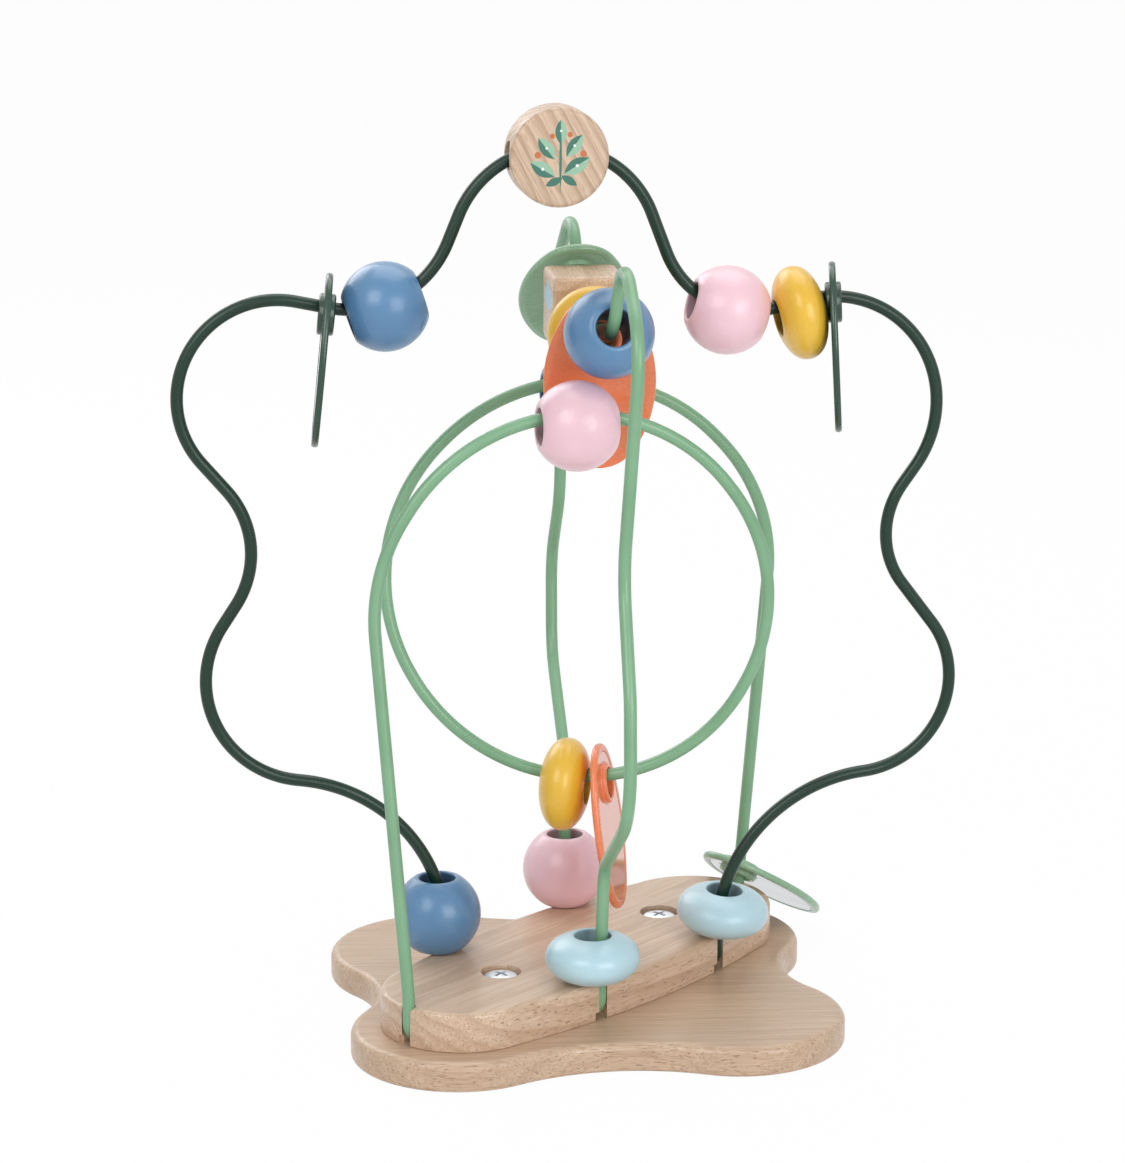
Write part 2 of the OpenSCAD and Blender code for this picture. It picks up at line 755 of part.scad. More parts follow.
arch_ring_on = arch_oval_on + collar_half + ring_half + side_gap;
arch_ball_at = in_valley(arch_path, arch_radii, arch_front_valley, arch_ball_share, ball_half);
arch_oval_at = rider(on_line(arch_path, arch_radii, arch_front_valley, arch_oval_on), oval_hang);
arch_ring_at = rider(on_line(arch_path, arch_radii, arch_front_valley, arch_ring_on), hang);
arch_cube_at = rider(
  on_bend(arch_path, arch_radii, arch_rear_valley, arch_cube_turn),
  valley_hang(bore_d, arch_radii[arch_rear_valley], cube_half)
);
back_oval_at = rider(on_line(arch_path, arch_radii, arch_rear_valley, back_oval_on), back_oval_drop);

left_foot_at = upright(-outer_foot, -outer_dir * left_foot_shift, ball_half);
right_foot_at = upright(outer_foot, outer_dir * right_foot_shift, ring_half);
front_foot_at = upright(arch_foot, [-front_foot_shift, 0], ring_half);
rear_foot_at = upright(-arch_foot, [0, rear_foot_shift], ball_half);

downhill = [cos(foot_oval_heading), sin(foot_oval_heading), 0];
leg = heading(loop_path, loop_rear_leg);
foot_oval_z = clamp_top + foot_oval_rise;
foot_oval_spot =
  loop_path[loop_rear_leg + 1] + leg * ((foot_oval_z - loop_path[loop_rear_leg + 1][2]) / leg[2]);
foot_oval_at = place(downhill, cross([0, 0, 1], downhill), [0, 0, 1], foot_oval_spot);

wood = [0.93, 0.83, 0.68];
zinc = [0.75, 0.76, 0.77];
silver = [0.82, 0.84, 0.86];
blue = [0.40, 0.57, 0.74];
pink = [0.94, 0.80, 0.85];
yellow = [0.88, 0.70, 0.22];
pale_blue = [0.72, 0.85, 0.89];
orange = [0.93, 0.45, 0.15];
dark_green = [0.10, 0.24, 0.18];
light_green = [0.52, 0.72, 0.57];

module base_plate() {
  color(wood)
    difference() {
      base_body();
      screw_holes();
    }
}

module clamp_plate() {
  color(wood)
    difference() {
      translate([0, 0, base_t])
        linear_extrude(height = clamp_t)
          clamp_plan();
      for (f = feet)
        foot_seat(f[0], f[1]);
      screw_holes();
      for (spot = screw_spots)
        translate(flat3(spot, pocket_z))
          cylinder(d = pocket_d, h = pocket_depth + cut_over);
    }
}

module front_screw() {
  color(zinc)
    screw(screw_spots[0]);
}

module rear_screw() {
  color(zinc)
    screw(screw_spots[1]);
}

module outer_wire() {
  color(dark_green)
    wire(outer_path, outer_radii);
}

module loop_wire() {
  color(light_green)
    wire(loop_path, loop_radii);
}

module arch_wire() {
  color(light_green)
    wire(arch_path, arch_radii);
}

module top_disc() {
  color(wood)
    multmatrix(top_disc_at)
      disc_bead();
}

module left_ball() {
  color(blue)
    multmatrix(left_ball_at)
      ball();
}

module left_oval() {
  color(dark_green)
    multmatrix(left_oval_at)
      rotate([left_oval_yaw, -left_oval_tilt, 0])
        oval(-1);
}

module left_mirror() {
  color(silver)
    multmatrix(left_oval_at)
      rotate([left_oval_yaw, -left_oval_tilt, 0])
        oval_mirror(-1);
}

module right_ball() {
  color(pink)
    multmatrix(right_ball_at)
      ball();
}

module right_ring() {
  color(yellow)
    multmatrix(right_ring_at)
      ring();
}

module right_oval() {
  color(dark_green)
    multmatrix(right_oval_at)
      rotate([right_oval_yaw, -right_oval_tilt, 0])
        oval(1);
}

module right_mirror() {
  color(silver)
    multmatrix(right_oval_at)
      rotate([right_oval_yaw, -right_oval_tilt, 0])
        oval_mirror(1);
}

module left_foot_ball() {
  color(blue)
    multmatrix(left_foot_at)
      ball();
}

module right_foot_ring() {
  color(pale_blue)
    multmatrix(right_foot_at)
      rotate(a = right_foot_tilt, v = flat3(along, 0))
        ring();
}

module loop_ball() {
  color(pink)
    multmatrix(loop_ball_at)
      ball();
}

module loop_back_ball() {
  color(blue)
    multmatrix(loop_back_at)
      ball();
}

module loop_ring() {
  color(yellow)
    multmatrix(loop_ring_at)
      ring();
}

module loop_oval() {
  color(orange)
    multmatrix(loop_oval_at)
      oval(-1);
}

module loop_mirror() {
  color(silver)
    multmatrix(loop_oval_at)
      oval_mirror(-1);
}

module foot_oval() {
  color(light_green)
    multmatrix(foot_oval_at)
      rotate([0, foot_oval_lean, 0])
        oval(-1);
}

module foot_mirror() {
  color(silver)
    multmatrix(foot_oval_at)
      rotate([0, foot_oval_lean, 0])
        oval_mirror(-1);
}

module arch_ball() {
  color(blue)
    multmatrix(arch_ball_at)
      ball();
}

module arch_oval() {
  color(orange)
    multmatrix(arch_oval_at)
      oval(1);
}

module arch_mirror() {
  color(silver)
    multmatrix(arch_oval_at)
      oval_mirror(1);
}

module arch_ring() {
  color(yellow)
    multmatrix(arch_ring_at)
      ring();
}

module arch_cube() {
  color(wood)
    multmatrix(arch_cube_at)
      cube_bead();
}

module back_oval() {
  color(light_green)
    multmatrix(back_oval_at)
      rotate([0, back_oval_tilt, 0])
        oval(1);
}

module back_mirror() {
  color(silver)
    multmatrix(back_oval_at)
      rotate([0, back_oval_tilt, 0])
        oval_mirror(1);
}

module front_foot_ring() {
  color(pale_blue)
    multmatrix(front_foot_at)
      ring();
}

module rear_foot_ball() {
  color(pink)
    multmatrix(rear_foot_at)
      ball();
}

base_plate();
clamp_plate();
front_screw();
rear_screw();
outer_wire();
loop_wire();
arch_wire();
top_disc();
left_ball();
left_oval();
left_mirror();
right_ball();
right_ring();
right_oval();
right_mirror();
left_foot_ball();
right_foot_ring();
loop_ball();
loop_back_ball();
loop_ring();
loop_oval();
loop_mirror();
foot_oval();
foot_mirror();
arch_ball();
arch_oval();
arch_mirror();
arch_ring();
arch_cube();
back_oval();
back_mirror();
front_foot_ring();
rear_foot_ball();
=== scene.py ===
import math

import bmesh
import bpy
import numpy as np
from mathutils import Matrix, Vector


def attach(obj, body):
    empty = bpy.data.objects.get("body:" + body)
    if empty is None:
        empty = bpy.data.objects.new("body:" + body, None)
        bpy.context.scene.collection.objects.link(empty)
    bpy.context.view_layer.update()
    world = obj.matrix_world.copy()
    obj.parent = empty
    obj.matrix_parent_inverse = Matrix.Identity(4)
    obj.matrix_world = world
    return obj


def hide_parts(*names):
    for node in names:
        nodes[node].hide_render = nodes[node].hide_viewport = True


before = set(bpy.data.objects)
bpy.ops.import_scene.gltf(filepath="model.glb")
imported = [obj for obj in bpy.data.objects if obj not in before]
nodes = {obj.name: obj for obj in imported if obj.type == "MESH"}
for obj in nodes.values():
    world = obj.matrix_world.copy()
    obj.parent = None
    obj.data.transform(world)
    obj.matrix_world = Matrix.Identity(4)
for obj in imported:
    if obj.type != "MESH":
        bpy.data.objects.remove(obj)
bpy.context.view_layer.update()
scene = bpy.context.scene
mm = 0.001
weld = 1e-7  # m, points nearer than this become one
upAxis = np.array([0.0, 0.0, 1.0])
print("stage: frame loaded,", len(nodes), "nodes")

cameraSet = {
    "place": (-6.525, -1175.11, 436.24),  # mm
    "target": (-6.525, -9.748, 150.0),
    "lens": 113.94,
    "sensor": 36.0,
    "reach": 20.0,  # m
}


def aimAt(thing, target):  # turns a camera or a lamp towards a point
    thing.rotation_euler = (Vector(target) - thing.location).to_track_quat("-Z", "Y").to_euler()


camera = bpy.data.objects.new("camera", bpy.data.cameras.new("camera"))
scene.collection.objects.link(camera)
camera.data.lens = cameraSet["lens"]
camera.data.sensor_width = cameraSet["sensor"]
camera.data.clip_end = cameraSet["reach"]
camera.location = Vector(cameraSet["place"]) * mm
aimAt(camera, Vector(cameraSet["target"]) * mm)
scene.camera = camera
print("stage: camera set")


def linear(red, green, blue):  # display colour, 0 to 255, to the linear colour that sockets take
    c = np.array([red, green, blue]) / 255
    low, high = c / 12.92, ((c + 0.055) / 1.055) ** 2.4
    return tuple(float(v) for v in np.where(c <= 0.04045, low, high)) + (1.0,)


class Signal:  # a node's output that Python's operators can combine
    def __init__(self, paint, socket):
        self.paint = paint
        self.socket = socket

    def calc(self, operation, *others):
        inputs = {i: v for i, v in enumerate((self,) + others)}
        return self.paint.node("ShaderNodeMath", {"operation": operation}, inputs)

    def swapped(self, operation, other):
        return self.paint.node("ShaderNodeMath", {"operation": operation}, {0: other, 1: self})

    def __add__(self, other):
        return self.calc("ADD", other)

    def __sub__(self, other):
        return self.calc("SUBTRACT", other)

    def __rsub__(self, other):
        return self.swapped("SUBTRACT", other)

    def __mul__(self, other):
        return self.calc("MULTIPLY", other)

    def __truediv__(self, other):
        return self.calc("DIVIDE", other)

    def __rtruediv__(self, other):
        return self.swapped("DIVIDE", other)

    __radd__, __rmul__ = __add__, __mul__

    def __neg__(self):
        return self.calc("MULTIPLY", -1.0)

    def __abs__(self):
        return self.calc("ABSOLUTE")

    def ease(self, low, high, start=0.0, end=1.0):  # smooth step from start to end between low and high
        settings = {"interpolation_type": "SMOOTHSTEP"}
        inputs = {"Value": self, "From Min": low, "From Max": high, "To Min": start, "To Max": end}
        return self.paint.node("ShaderNodeMapRange", settings, inputs)


class Paint:  # one material and the nodes that feed its shader
    def __init__(self, name):
        self.material = bpy.data.materials.new(name)
        self.material.use_nodes = True
        self.tree = self.material.node_tree
        self.shader = self.tree.nodes["Principled BSDF"]

    def node(self, kind, settings=None, inputs=None, output=0):  # settings first, then values or links
        made = self.tree.nodes.new(kind)
        for key, value in (settings or {}).items():
            setattr(made, key, value)
        for key, value in (inputs or {}).items():
            self.feed(made.inputs[key], value)
        return Signal(self, made.outputs[output])

    def feed(self, socket, value):  # a link for a signal, or else a plain value
        if isinstance(value, Signal):
            self.tree.links.new(value.socket, socket)
        else:
            socket.default_value = value

    def finish(self, **values):  # sockets of the shader by name, with _ for a space
        for key, value in values.items():
            self.feed(self.shader.inputs[key.replace("_", " ")], value)
        return self.material

    def place(self, turn=(0, 0, 0), shift=(0, 0, 0), attribute=None):
        # Object coordinates, or a piece's own attribute, in millimetres, turned and shifted
        if attribute:
            source = self.node("ShaderNodeAttribute", {"attribute_name": attribute}, output="Vector")
        else:
            plain = self.node("ShaderNodeTexCoord", output="Object")
            source = self.node("ShaderNodeVectorMath", {"operation": "SCALE"}, {0: plain, "Scale": 1 / mm})
        inputs = {"Vector": source, "Rotation": turn, "Location": shift}
        return self.node("ShaderNodeMapping", {"vector_type": "TEXTURE"}, inputs)

    def scaled(self, vector, stretch):  # each direction times its own number
        return self.node("ShaderNodeVectorMath", {"operation": "MULTIPLY"}, {0: vector, 1: stretch})

    def parts(self, vector):  # x, y and z as signals
        split = self.node("ShaderNodeSeparateXYZ", {}, {0: vector}).socket.node
        return [Signal(self, socket) for socket in split.outputs]

    def noise(self, vector, scale, detail=2.0, rough=0.5, warp=0.0):
        inputs = {"Vector": vector, "Scale": scale, "Detail": detail, "Roughness": rough, "Distortion": warp}
        return self.node("ShaderNodeTexNoise", {}, inputs)

    def blend(self, factor, first, second):
        return self.node("ShaderNodeMix", {"data_type": "RGBA"}, {0: factor, 6: first, 7: second}, 2)

    def bump(self, height, depth):  # depth in mm
        return self.node("ShaderNodeBump", {}, {"Height": height, "Distance": depth * mm}, "Normal")


beechLook = {
    "pale": linear(224, 198, 173), "mid": linear(211, 181, 153),
    "deep": linear(190, 157, 128), "fleck": linear(146, 106, 78),
    "pith": (38.0, -64.0),  # mm, the tree's middle beside and below the plank
    "ringSpace": 5.2, "ringDrift": 9.0,  # mm between growth rings, mm that they wander
    "ringLate": (0.35, 0.93),  # part of a ring in which it darkens
    "drift": ((0.012, 0.05, 0.05), 2.0, 0.5),  # noise: scales along and across the grain, detail, roughness
    "streak": ((0.03, 0.9, 0.9), 3.0, 0.6),
    "line": ((0.016, 1.5, 1.5), 2.0, 0.65),
    "pore": ((0.22, 3.4, 3.4), 2.0, 0.6),
    "ray": ((0.3, 2.3, 2.3), 1.0, 0.4),
    "streakBand": (0.3, 0.7), "lineBand": (0.47, 0.68),  # noise values between which a mark sets in
    "poreBand": (0.5, 0.72), "rayBand": (0.63, 0.69),
    "ringDepth": 0.4, "lineDepth": 0.5, "poreDepth": 0.25, "fleckDepth": 0.68,  # strength of each mark
    "flatTop": 1000.0, "flatBand": 0.8, "flatShare": 0.3,  # mm, a plate's sawn top, with this share of flecks
    "heights": (0.5, 0.6, 0.2),  # rise of pores, fall of flecks and of late wood
    "bump": 0.06,  # mm
}


def beechCoat(paint, grain, **changes):
    # growth rings round a far pith line, long streaks, fine lines, ray flecks and pores along the grain
    look = {**beechLook, **changes}

    def drawn(key):  # noise drawn out along the grain
        stretch, detail, rough = look[key]
        return paint.noise(paint.scaled(grain, stretch), 1.0, detail, rough)

    _, y, z = paint.parts(grain)
    sideY, sideZ = y - look["pith"][0], z - look["pith"][1]
    radius = (sideY * sideY + sideZ * sideZ).calc("SQRT") + drawn("drift") * look["ringDrift"]
    phase = (radius / look["ringSpace"]).calc("FRACT")
    late = phase.ease(*look["ringLate"]) * (1.0 - phase.ease(look["ringLate"][1], 1.0))
    streak, pores = drawn("streak"), drawn("pore")
    lines = drawn("line").ease(*look["lineBand"])
    sawn = z.ease(look["flatTop"], look["flatTop"] - look["flatBand"], look["flatShare"], 1.0)
    flecks = drawn("ray").ease(*look["rayBand"]) * sawn
    tone = paint.blend(streak.ease(*look["streakBand"]), look["pale"], look["mid"])
    tone = paint.blend(late * look["ringDepth"], tone, look["deep"])
    tone = paint.blend(lines * look["lineDepth"], tone, look["deep"])
    tone = paint.blend(pores.ease(*look["poreBand"]) * look["poreDepth"], tone, look["deep"])
    tone = paint.blend(flecks * look["fleckDepth"], tone, look["fleck"])
    poreRise, fleckFall, lateFall = look["heights"]
    height = pores * poreRise - flecks * fleckFall - late * lateFall
    return tone, height, streak


def beechPaint(name, angle, shift=(0, 0, 0), coat=0.35, **changes):
    # beech with its grain turned in plan, under a thin satin varnish
    paint = Paint(name)
    grain = paint.place(turn=(0, 0, math.radians(angle)), shift=shift)
    tone, height, streak = beechCoat(paint, grain, **changes)
    return paint.finish(
        Base_Color=tone,
        Roughness=streak.ease(0.2, 0.8, 0.36, 0.46),
        Normal=paint.bump(height, beechLook["bump"]),
        Coat_Weight=coat,
        Coat_Roughness=0.19,
    )


lacquerLook = {
    "cloud": 0.07, "peel": 0.75, "grain": (0.08, 1.1, 1.1),  # noise scales per mm
    "cloudDepth": 0.5, "grainDepth": 0.14, "rough": (0.34, 0.43), "peelShare": 0.6, "bump": 0.12,
    "boreEdge": (6.5, 6.05),  # mm from the axis, where the painted shade and the rougher coat in the bore set in
    # painted shade in the bore: its strength, and its colour as a share of the deeper colour; then the bore's
    # extra roughness
    "boreDepth": 0.6, "boreShadeDim": 0.3, "boreRough": 0.3,
}


def lacquerPaint(name, colour, deeper, seed):
    # sprayed lacquer on turned wood: soft tone drift, orange peel, a trace of grain, painted shade in the
    # bore under a rougher coat
    look, paint = lacquerLook, Paint(name)
    x, y, _ = paint.parts(paint.place(attribute="local"))
    inside = (x * x + y * y).calc("SQRT").ease(*look["boreEdge"])
    # colour of the painted shade in the bore: the deeper colour darkened
    boreShadeTone = tuple(look["boreShadeDim"] * c for c in deeper[:3]) + (1.0,)
    spot = paint.place(shift=(seed, 2 * seed, -seed))
    cloud = paint.noise(spot, look["cloud"])
    peel = paint.noise(spot, look["peel"])
    grain = paint.noise(paint.scaled(spot, look["grain"]), 1.0, 2.0, 0.55)
    tone = paint.blend(cloud.ease(0.3, 0.75) * look["cloudDepth"], colour, deeper)
    tone = paint.blend(grain.ease(0.45, 0.75) * look["grainDepth"], tone, deeper)
    # painted shade: the bore's wall is mixed towards a darker copy of the deeper colour
    tone = paint.blend(inside * look["boreDepth"], tone, boreShadeTone)
    skin = peel * look["peelShare"] + grain * (1 - look["peelShare"])
    return paint.finish(
        Base_Color=tone,
        Roughness=cloud.ease(0.3, 0.7, *look["rough"]) + inside * look["boreRough"],
        Normal=paint.bump(skin, look["bump"]),
        Coat_Weight=0.4,
        Coat_Roughness=0.19,
    )


plasticLook = {
    "flow": 0.05, "warp": 0.6, "scuff": (0.4, 2.6, 0.9), "depth": 0.5, "rough": (0.24, 0.36), "bump": 0.04,
}


def plasticPaint(name, colour, deeper, seed):
    # moulded gloss plastic: faint flow marks and tiny scuffs
    look, paint = plasticLook, Paint(name)
    spot = paint.place(shift=(seed, -seed, seed))
    flow = paint.noise(spot, look["flow"], warp=look["warp"])
    scuff = paint.noise(paint.scaled(spot, look["scuff"]), 1.0, 3.0, 0.6)
    return paint.finish(
        Base_Color=paint.blend(flow.ease(0.3, 0.75) * look["depth"], colour, deeper),
        Roughness=scuff.ease(0.4, 0.8, *look["rough"]),
        Normal=paint.bump(flow * 0.8 + scuff * 0.1, look["bump"]),
        Coat_Weight=0.25,
        Coat_Roughness=0.1,
    )


coatLook = {"wave": 0.045, "skin": 0.9, "depth": 0.6, "rough": (0.28, 0.36), "bump": 0.04}


def coatPaint(name, colour, deeper, seed, shine):
    # dipped plastic coating on wire: satin, with slow thickness waves
    look, paint = coatLook, Paint(name)
    spot = paint.place(shift=(seed, seed, 0))
    wave = paint.noise(spot, look["wave"])
    skin = paint.noise(spot, look["skin"])
    return paint.finish(
        Base_Color=paint.blend(wave.ease(0.3, 0.75) * look["depth"], colour, deeper),
        Roughness=skin.ease(0.3, 0.7, *look["rough"]),
        Normal=paint.bump(wave * 0.9 + skin * 0.1, look["bump"]),
        Specular_IOR_Level=shine,
        Coat_Weight=0.1,
        Coat_Roughness=0.15,
    )


mirrorLook = {"wave": 0.06, "haze": 0.09, "rough": (0.03, 0.07), "bump": 0.2}


def mirrorPaint(name, colour, deeper):
    # mirror film with slow waves and a light haze of handling
    look, paint = mirrorLook, Paint(name)
    spot = paint.place()
    wave = paint.noise(spot, look["wave"], 1.0)
    haze = paint.noise(spot, look["haze"])
    return paint.finish(
        Base_Color=paint.blend(haze.ease(0.3, 0.8), colour, deeper),
        Metallic=1.0,
        Roughness=haze.ease(0.3, 0.8, *look["rough"]),
        Normal=paint.bump(wave, look["bump"]),
    )


filmLook = {"wave": 0.06, "haze": 0.5, "depth": 0.5, "rough": (0.08, 0.14), "bump": 0.2}


def filmPaint(name, colour, deeper):
    # clear-coated coloured film: deep gloss that turns pale where it is seen edge on
    look, paint = filmLook, Paint(name)
    spot = paint.place()
    wave = paint.noise(spot, look["wave"], 1.0)
    haze = paint.noise(spot, look["haze"], 3.0)
    return paint.finish(
        Base_Color=paint.blend(wave.ease(0.3, 0.75) * look["depth"], colour, deeper),
        Roughness=haze.ease(0.3, 0.8, *look["rough"]),
        Normal=paint.bump(wave, look["bump"]),
        IOR=2.1,
        Coat_Weight=0.5,
        Coat_Roughness=0.06,
    )


zincLook = {"grain": 1.6, "blotch": 0.5, "rough": (0.36, 0.52), "bump": 0.05}


def zincPaint(name, colour, deeper):
    # plated steel: fine crystals and soft blotches
    look, paint = zincLook, Paint(name)
    spot = paint.place()
    grainy = paint.noise(spot, look["grain"], 3.0, 0.6)
    blotch = paint.noise(spot, look["blotch"])
    return paint.finish(
        Base_Color=paint.blend(blotch.ease(0.3, 0.7), colour, deeper),
        Metallic=1.0,
        Roughness=grainy.ease(0.3, 0.7, *look["rough"]),
        Normal=paint.bump(grainy, look["bump"]),
    )


def camel(node):  # a piece's or a paint's name from a node or a slot
    first, *others = node.split("_")
    return first + "".join(word.capitalize() for word in others)


paints = {  # by slot, or by its own name where a slot has more than one
    "baseBeech": beechPaint(
        "baseBeech", 3.0, coat=0.3, ringDepth=0.25, lineDepth=0.65, flatTop=10.0,
        pale=linear(214, 187, 161), mid=linear(200, 170, 142), deep=linear(178, 145, 116),
    ),
    "clampBeech": beechPaint(
        "clampBeech", 50.0, (7.0, 3.0, 0.0), 0.35, pith=(21.0, -30.0), ringDepth=0.55, flatTop=23.0,
    ),
}
for kind, slot, colour, deeper, *others in (  # others: the noise's seed and a coat's shine
    (lacquerPaint, "blue_lacquer", (90, 136, 178), (81, 124, 166), 3.0),
    (lacquerPaint, "pink_lacquer", (246, 206, 218), (240, 194, 206), 11.0),
    (lacquerPaint, "yellow_lacquer", (237, 191, 58), (227, 176, 44), 19.0),
    (lacquerPaint, "pale_blue_lacquer", (187, 220, 231), (174, 210, 223), 27.0),
    (plasticPaint, "dark_green_plastic", (34, 68, 54), (28, 58, 46), 5.0),
    (plasticPaint, "orange_plastic", (243, 134, 86), (236, 120, 72), 8.0),
    (plasticPaint, "light_green_plastic", (146, 185, 150), (132, 171, 137), 13.0),
    (coatPaint, "dark_green_coat", (24, 54, 42), (18, 45, 35), 2.0, 0.32),
    (coatPaint, "light_green_coat", (130, 177, 138), (115, 161, 122), 6.0, 0.5),
    (mirrorPaint, "mirror_film", (178, 181, 183), (166, 170, 173)),
    (filmPaint, "orange_film", (236, 130, 84), (226, 116, 70)),
    (zincPaint, "zinc_plate", (236, 238, 242), (214, 218, 226)),
):
    paints[slot] = kind(camel(slot), linear(*colour), linear(*deeper), *others)
print("stage: paints mixed,", len(paints))


def gridFaces(rows, columns, wrapRows, wrapColumns):  # quads between neighbouring rows and columns
    r = np.arange(rows if wrapRows else rows - 1)
    c = np.arange(columns if wrapColumns else columns - 1)
    a, b = np.meshgrid(r, c, indexing="ij")
    nextA, nextB = (a + 1) % rows, (b + 1) % columns
    corners = [a * columns + b, a * columns + nextB, nextA * columns + nextB, nextA * columns + b]
    return np.stack(corners, -1).reshape(-1, 4)


def fanFaces(start, count, pole, flip):  # triangles from one closed row to a pole
    k = np.arange(count)
    pair = [start + k, start + (k + 1) % count]
    return np.stack((pair[::-1] if flip else pair) + [np.full(count, pole)], -1)


def buildPiece(name, points, faces, paint):  # a smooth closed mesh, its doubles merged, faces outwards
    mesh = bpy.data.meshes.new(name)
    mesh.from_pydata(points.tolist(), [], faces)
    work = bmesh.new()
    work.from_mesh(mesh)
    bmesh.ops.remove_doubles(work, verts=work.verts, dist=weld)
    bmesh.ops.recalc_face_normals(work, faces=work.faces)
    work.to_mesh(mesh)
    work.free()
    mesh.polygons.foreach_set("use_smooth", np.ones(len(mesh.polygons), bool))
    mesh.materials.append(paint)
    piece = bpy.data.objects.new(name, mesh)
    scene.collection.objects.link(piece)
    return piece


def ringStack(name, rings, paint, origin, axes):
    # closed rows of points, each row joined to the next and the last back to the first
    grid = np.array(rings)
    points = (np.array(origin) + grid.reshape(-1, 3) @ np.array(axes).T) * mm
    faces = gridFaces(grid.shape[0], grid.shape[1], True, True)
    return buildPiece(name, points, faces.tolist(), paint)


def poleStack(name, rings, paint, origin=(0, 0, 0), axes=np.eye(3)):
    # closed rows of points from one pole to the other, each pole the middle of its row
    grid = np.array(rings)
    rows, columns = grid.shape[:2]
    flat = np.vstack([grid.reshape(-1, 3), grid[0].mean(0), grid[-1].mean(0)])
    points = (np.array(origin) + flat @ np.array(axes).T) * mm
    faces = gridFaces(rows, columns, False, True).tolist()
    faces += fanFaces(0, columns, rows * columns, True).tolist()
    faces += fanFaces((rows - 1) * columns, columns, rows * columns + 1, False).tolist()
    return buildPiece(name, points, faces, paint)


def lathe(profile, steps=96):  # rows of a turned shape: each profile point (radius, height) makes a circle
    angle = np.linspace(0, 2 * math.pi, steps, endpoint=False)
    radius, height = np.array(profile).T
    x = radius[:, None] * np.cos(angle)
    y = radius[:, None] * np.sin(angle)
    return np.stack([x, y, np.repeat(height[:, None], steps, 1)], -1)


def carve(piece, tools, angle=32):  # cuts closed tools out of a piece and marks the edges that stay sharp
    for tool in tools:
        cut = piece.modifiers.new("cut", "BOOLEAN")
        cut.object = tool
        cut.operation = "DIFFERENCE"
        cut.solver = "EXACT"
    shaped = piece.evaluated_get(bpy.context.evaluated_depsgraph_get())
    done = bpy.data.meshes.new_from_object(shaped)
    piece.modifiers.clear()
    piece.data = done
    for tool in tools:
        bpy.data.objects.remove(tool)
    done.set_sharp_from_angle(angle=math.radians(angle))
    return piece


def levelRow(plan, z):  # the points of a plan at one height
    return np.column_stack([plan, np.full(len(plan), z)])


def planRow(radius, angle, z):  # points by their distance and angle from the middle, at one height
    return levelRow(np.stack([radius * np.cos(angle), radius * np.sin(angle)], 1), z)


def quarterRow(radius, steps):  # a quarter round, as distances from its first and its last tangent
    angle = np.linspace(0, math.pi / 2, steps)
    return [(radius * (1 - math.cos(a)), radius * (1 - math.sin(a))) for a in angle]


def boreWall(radius, top, steps):  # a bore's wall from low to high
    return [(radius, z) for z in np.linspace(-top, top, steps)]


def lipRow(boreR, half, lip, steps=6):  # rounded mouth from the bore's wall to the face
    return [(boreR + u, half - v) for u, v in quarterRow(lip, steps)]


def meshPoints(mesh):  # a mesh's points in mm
    points = np.empty(len(mesh.vertices) * 3)
    mesh.vertices.foreach_get("co", points)
    return points.reshape(-1, 3) / mm


def nodeSpread(name):
    # middle and spread of a node's skin: second moments of its triangles, by area, and their main axes
    mesh = nodes[name].data
    mesh.calc_loop_triangles()
    index = np.empty(len(mesh.loop_triangles) * 3, int)
    mesh.loop_triangles.foreach_get("vertices", index)
    corners = meshPoints(mesh)[index.reshape(-1, 3)]
    first, second = corners[:, 1] - corners[:, 0], corners[:, 2] - corners[:, 0]
    area = np.linalg.norm(np.cross(first, second), axis=1)
    centre = (corners.mean(1) * area[:, None]).sum(0) / area.sum()
    local = corners - centre
    total = local.sum(1)
    spread = np.einsum("n,nki,nkj->ij", area, local, local)
    spread = spread + np.einsum("n,ni,nj->ij", area, total, total)
    values, axes = np.linalg.eigh(spread / area.sum())
    return centre, values, axes


def unit(vector):
    return vector / np.linalg.norm(vector)


uprightLimit = 0.2  # a bore whose level share is below this counts as upright


def riderAxes(bore):  # Z along the bore, X down as far as the bore lets it
    bore = bore if bore[np.argmax(np.abs(bore))] > 0 else -bore
    down = -upAxis + bore * bore[2]
    x = unit(down) if np.linalg.norm(down) > uprightLimit else unit(np.cross([0, 1, 0], bore))
    return np.stack([x, np.cross(bore, x), bore], 1)


def beadFrame(name):  # middle of a turned bead and axes with Z along its bore, its odd direction
    centre, values, axes = nodeSpread(name)
    odd = 0 if values[1] - values[0] > values[2] - values[1] else 2
    return centre, riderAxes(axes[:, odd])


def stayWith(piece, node, body):  # the piece stands for a node and rides on its body
    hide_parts(node)
    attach(piece, body)
    return piece


def keepLocal(piece, origin, axes):  # writes each point's place in the bead's own frame, in mm
    local = (meshPoints(piece.data) - origin) @ axes
    layer = piece.data.attributes.new("local", "FLOAT_VECTOR", "POINT")
    layer.data.foreach_set("vector", local.astype(np.float32).ravel())


foot = {  # mm and degrees
    "baseT": 10.0, "baseTopRound": 2.8, "baseLowRound": 1.8,
    "lobeA": (-40.0, -45.0, 35.5), "lobeB": (-50.5, 31.0, 36.0),  # place and radius
    "sideHollow": 35.0, "frontHollow": 67.0, "bite": 0.06,  # radii, overlap of lobes and hollows
    "clampT": 13.0, "clampTopRound": 1.7, "clampLowRound": 0.5,
    "clampHalfL": 85.6, "clampHalfW": 32.8, "clampSideR": 300.0, "clampEndR": 26.75, "clampAngle": 48.5,
    "roundSteps": 7, "lobeSteps": 44, "endSteps": 60, "sideSteps": 70,
    "flats": (14.0, 0.4),  # rows on the flat faces, in from the rounds
}
clampTop = foot["baseT"] + foot["clampT"]
clampTurn = math.radians(foot["clampAngle"])
along = np.array([math.cos(clampTurn), math.sin(clampTurn)])
across = np.array([along[1], -along[0]])


